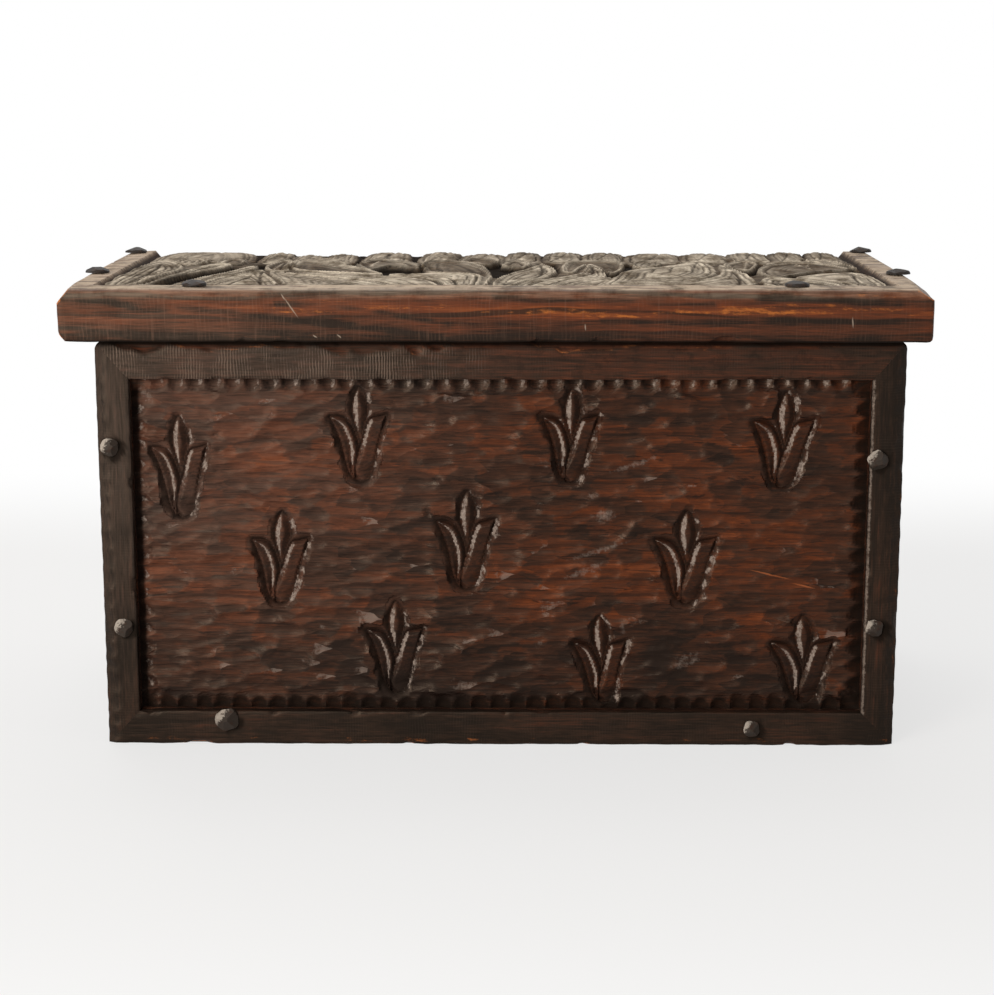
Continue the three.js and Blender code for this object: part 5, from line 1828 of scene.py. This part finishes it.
def makeLidPlank():
    bm = blankBoard(lidLow, lidHigh, (lidLook["cell"],) * 3, lidLook["rounding"])
    slope = lidLook["field"]["slope"]
    for x, sign in ((fieldLow[0], -1), (fieldHigh[0], 1)):
        for out in (0, slope * 0.5, slope):
            cutAcross(bm, (x + sign * out, 0, 0), (1, 0, 0))
    for y in (fieldLow[1], fieldLow[1] - lidLook["seam"]):
        cutAcross(bm, (0, y, 0), (0, 1, 0))
    mesh = newMesh("lid_plank_body", bm)
    start = meshPoints(mesh)
    points, worn = wearBoard(start, lidLow, lidHigh, lidLook["wear"])
    points, bare = roundLid(points)
    points, inField, besideField, outside = sinkField(start, points)
    setMeshPoints(mesh, points * mm)
    setMarks(mesh, paintPlank(start, points, worn, bare, inField, besideField, outside))
    finish = woodFinish("lid wood", woodLooks["lid"])
    addPiece("lid_plank_body", mesh, "lid", finish, "lid_plank")
    makeLidCarving(woodFinish("carved lid wood", woodLooks["foliage"]))


# Nails

nailLook = {
    "shank": 3.6,
    "taper": 0.35,
    "cadRise": 0.3,  # a head's rise in the solids, as a share of its width
    "slim": {"under": 8, "shank": 0.72},  # narrower heads have thinner shanks
    "crest": (1.12, 0.98),  # the dome's height before its top is hammered flat, and after
    "lid": {
        "over": 9,  # only the wide heads of the lid, not those in its hinges
        "rise": 0.22,
        "steep": (0.15, 0.5),
        "reach": (0.8, 0.95),
        "edges": 6,
        "flat": (0.9, 1.0),
        "wide": 1.25,
    },
    "body": {
        "rise": 0.3,
        "steep": (0.5, 0.85),
        "reach": (0.68, 0.84),
        "edges": 4,
        "flat": (0.84, 0.96),
        "wide": 1,
    },
    "seed": 300,
}


def nailHead(look, width, rise, random):
    # A dome cut flat by the hammer: facets round the top, and short flats on the rim.
    domed, flattened = nailLook["crest"]
    bm = bmesh.new()
    bmesh.ops.create_icosphere(bm, subdivisions=3, radius=width / 2)
    bmesh.ops.scale(bm, vec=(1, 1, rise * domed / (width / 2)), verts=bm.verts[:])
    cutAcross(bm, (0, 0, 0), (0, 0, -1), remove=True)
    start = random.uniform(0, 2 * pi)
    for edge in range(look["edges"]):
        turn = start + (edge + random.uniform(-0.25, 0.25)) * 2 * pi / look["edges"]
        steep = random.uniform(*look["steep"])
        normal = Vector((cos(turn) * sin(steep), sin(turn) * sin(steep), cos(steep)))
        reach = np.hypot(width / 2 * sin(steep), rise * cos(steep)) * random.uniform(*look["reach"])
        cutAcross(bm, normal * reach, normal, remove=True)
        turn = turn + random.uniform(0.2, 0.6)
        normal = Vector((cos(turn), sin(turn), 0.25)).normalized()
        cutAcross(bm, normal * width / 2 * random.uniform(*look["flat"]), normal, remove=True)
    cutAcross(bm, (0, 0, rise * flattened), (0, 0, 1), remove=True)
    return bm


def growShank(bm, width, length):
    # The shank runs down from a smaller face within the head's underside and tapers to a point.
    down = [face for face in bm.faces if abs(face.normal.z + 1) < 1e-3]
    under = [face for face in down if face.calc_center_median().z < 1e-3]
    slim = nailLook["slim"]
    shank = nailLook["shank"] * (slim["shank"] if width < slim["under"] else 1) / 2
    bmesh.ops.inset_region(bm, faces=under, thickness=width / 2 - shank * 1.05, use_even_offset=False)
    for share, taper in ((0.75, 0.8), (0.25, nailLook["taper"])):
        grown = bmesh.ops.extrude_face_region(bm, geom=under)["geom"]
        under = pick(grown, bmesh.types.BMFace)
        verts = pick(grown, bmesh.types.BMVert)
        bmesh.ops.translate(bm, verts=verts, vec=(0, 0, -length * share))
        bmesh.ops.scale(bm, vec=(taper, taper, 1), verts=verts)
    faceOut(bm)


def makeNail(name, body, index):
    low, high = nodeBox(name)
    size = high - low
    axis = int(np.argmax(size))
    centre = (low + high) / 2
    bodyCentre = np.array([bodyMiddle, (frontLow[1] + lidHigh[1]) / 2, 130])
    outward = 1 if centre[axis] > bodyCentre[axis] else -1
    width = np.delete(size, axis).mean()
    look = nailLook["lid" if body == "lid" and width > nailLook["lid"]["over"] else "body"]
    cadRise = width * nailLook["cadRise"]
    width = width * look["wide"]
    bm = nailHead(look, width, width * look["rise"], np.random.default_rng(nailLook["seed"] + index))
    growShank(bm, width, size[axis] - cadRise)
    direction = Vector([outward if i == axis else 0 for i in range(3)])
    turnTo = Vector((0, 0, 1)).rotation_difference(direction).to_matrix().to_4x4()
    seat = centre.copy()
    seat[axis] = (high[axis] - cadRise) if outward > 0 else (low[axis] + cadRise)
    placeShape(bm, seat, turnTo)
    mesh = newMesh(name + "_forged", bm)
    iron = ironBlack if look is nailLook["lid"] else ironBright
    if axis == 1 and outward < 0:
        # painted highlight on the upper left of a head, where the light falls
        away = (meshPoints(mesh) / mm - seat) / width
        setMarks(mesh, {"sheen": smoothStep(away[:, 2] * 0.6 - away[:, 0] * 0.8, 0, 0.34)})
    addPiece("forged_" + name, mesh, body, iron, name, crease=18)


def makeNails():
    bodies = frame["record"]["behaviour"]["bodies"]
    nails = [(name, body) for body, nodes in bodies.items() for name in nodes if name.endswith("_nail")]
    for index, (name, body) in enumerate(nails):
        makeNail(name, body, index)


# Hinges

hingeLook = {
    "plate": 2.0,
    "plateHeight": 24,
    "knuckleRadius": 4.0,
    "knuckleGap": 0.3,
    "pinRadius": 1.7,
    "headRadius": 3.0,
    "headThickness": 1.5,
    "rolled": 292,  # degrees of the knuckle's curl
    "rollSteps": 22,
    "arris": 0.25,
    "headRound": 0.5,
}


def hingeLeaf(name, body, up, axisPoint, width):
    look = hingeLook
    radius, gap = look["knuckleRadius"], look["knuckleGap"]
    half = width / 2
    inner = (width - 4 * gap) / 3 / 2 + (gap if up < 0 else 0)
    clear = radius + gap
    bm = boxMesh((-half, -radius, -look["plateHeight"]), (half, -radius + look["plate"], -clear))
    for x in (-inner, inner):
        cutAcross(bm, (x, 0, 0), (1, 0, 0))
    bm.faces.ensure_lookup_table()
    tops = [f for f in bm.faces if f.normal.z > 0.9]
    # the body's leaf carries the two outer knuckles, the lid's leaf the middle one
    tops = [f for f in tops if (abs(f.calc_center_median().x) > inner) == (up < 0)]
    for top in tops:
        grown = bmesh.ops.extrude_face_region(bm, geom=[top])["geom"]
        bmesh.ops.translate(bm, verts=pick(grown, bmesh.types.BMVert), vec=(0, 0, clear))
        bmesh.ops.spin(
            bm,
            geom=pick(grown, bmesh.types.BMFace),
            cent=(0, 0, 0),
            axis=(-1, 0, 0),
            angle=radians(look["rolled"]),
            steps=look["rollSteps"],
            use_merge=False,
            use_duplicate=False,
        )
    bmesh.ops.remove_doubles(bm, verts=bm.verts[:], dist=1e-4)
    bmesh.ops.dissolve_degenerate(bm, dist=1e-5, edges=bm.edges[:])
    faceOut(bm)
    sharp = [e for e in bm.edges if len(e.link_faces) == 2 and e.calc_face_angle(0) > radians(50)]
    bmesh.ops.bevel(
        bm, geom=sharp, offset=look["arris"], segments=1, profile=0.5, affect="EDGES", material=-1
    )
    if up > 0:
        # the lid's leaf stands the other way up
        bmesh.ops.rotate(bm, cent=(0, 0, 0), matrix=Matrix.Diagonal((1, 1, -1)), verts=bm.verts[:])
        faceOut(bm)
    placeShape(bm, axisPoint)
    mesh = newMesh(name + "_rolled", bm)
    addPiece("forged_" + name, mesh, body, hingeBlack, name, crease=30)


def hingePin(name, axisPoint):
    low, high = nodeBox(name)
    look = hingeLook
    half = (high[0] - low[0]) / 2
    profile = [
        (-half, 0),
        (-half, look["headRadius"] - look["headRound"]),
        (-half + look["headRound"], look["headRadius"]),
        (-half + look["headThickness"], look["headRadius"]),
        (-half + look["headThickness"], look["pinRadius"]),
    ]
    profile = profile + [(-x, r) for x, r in reversed(profile)]
    bm = bmesh.new()
    verts = [bm.verts.new((x, r, 0)) for x, r in profile]
    edges = [bm.edges.new(pair) for pair in zip(verts, verts[1:])]
    bmesh.ops.spin(
        bm, geom=verts + edges, cent=(0, 0, 0), axis=(1, 0, 0), angle=2 * pi, steps=24, use_merge=True
    )
    bmesh.ops.remove_doubles(bm, verts=bm.verts[:], dist=1e-4)
    faceOut(bm)
    placeShape(bm, axisPoint)
    addPiece("forged_" + name, newMesh(name + "_turned", bm), "chest_body", hingeBlack, name)


def makeHinges():
    axis = Vector(frame["record"]["behaviour"]["joints"][0]["pos_m"]) / mm
    for side in ("left", "right"):
        low, high = nodeBox(side + "_hinge_body_leaf")
        axisPoint = ((low[0] + high[0]) / 2, axis.y, axis.z)
        width = high[0] - low[0]
        hingeLeaf(side + "_hinge_body_leaf", "chest_body", -1, axisPoint, width)
        hingeLeaf(side + "_hinge_lid_leaf", "lid", 1, axisPoint, width)
        hingePin(side + "_hinge_pin", axisPoint)


def addFloor():
    bm = bmesh.new()
    bmesh.ops.create_grid(bm, x_segments=1, y_segments=1, size=floorLook["size"])
    mesh = newMesh("floor", bm)
    finish = Finish("pale floor")
    finish.set(colour=opaque((floorLook["albedo"],) * 3), roughness=0.9, specular=0.1)
    rays = finish.tree.nodes.new("ShaderNodeLightPath")
    seen = Signal(finish.tree, rays.outputs["Is Camera Ray"])
    glossy = Signal(finish.tree, rays.outputs["Is Glossy Ray"])
    far = finish.place.combine("MAXIMUM", finish.place.part("X").size() * 0.8, finish.place.part("Y").size())
    near = 1 - far.ramp(*floorLook["shadowReach"])
    factor = (seen + glossy).within() * (1 - near * floorLook["keep"])
    glow = finish.tree.nodes.new("ShaderNodeEmission")
    mix = finish.tree.nodes.new("ShaderNodeMixShader")
    finish.tree.links.new(factor.socket, mix.inputs[0])
    finish.tree.links.new(finish.shader.outputs[0], mix.inputs[1])
    finish.tree.links.new(glow.outputs[0], mix.inputs[2])
    finish.tree.links.new(mix.outputs[0], finish.tree.nodes["Material Output"].inputs[0])
    mesh.materials.append(finish.material)
    floor = bpy.data.objects.new("floor", mesh)
    bpy.context.scene.collection.objects.link(floor)


def setWorld():
    world = bpy.data.worlds.new("studio")
    bpy.context.scene.world = world
    world.use_nodes = True
    tree = world.node_tree
    rays = tree.nodes.new("ShaderNodeLightPath")
    seen = Signal(tree, rays.outputs["Is Camera Ray"]) + Signal(tree, rays.outputs["Is Transmission Ray"])
    seen = seen + Signal(tree, rays.outputs["Is Glossy Ray"])
    # The room is bright behind the chest and above it, and dim in front.
    way = Signal(tree).add("ShaderNodeTexCoord")
    toBack = (way.part("Y") + way.part("Z") * 0.5).ramp(*worldLight["turns"])
    lighting = toBack * (worldLight["back"] - worldLight["front"]) + worldLight["front"]
    strength = seen.within() * (worldLight["seen"] - lighting) + lighting
    background = tree.nodes["Background"]
    tint = blendColours(seen.within(), worldLight["warm"], worldLight["white"])
    tree.links.new(tint.socket, background.inputs["Color"])
    tree.links.new(strength.socket, background.inputs["Strength"])


addCamera(cameraView)
addLamps()
addFloor()
setWorld()
print("stage: camera, lamps and floor")
makeFrontBoard()
print("stage: front board")
makeFrame()
makeBoards()
print("stage: frame and boards")
makeLidPlank()
print("stage: lid")
ironBlack = ironFinish("forged nail iron", **irons["lidNail"])
ironBright = ironFinish("worn nail iron", **irons["bodyNail"])
hingeBlack = ironFinish("forged hinge iron", **irons["hinge"])
makeNails()
makeHinges()
print("stage: nails and hinges")

bpy.context.scene.view_settings.view_transform = "Standard"
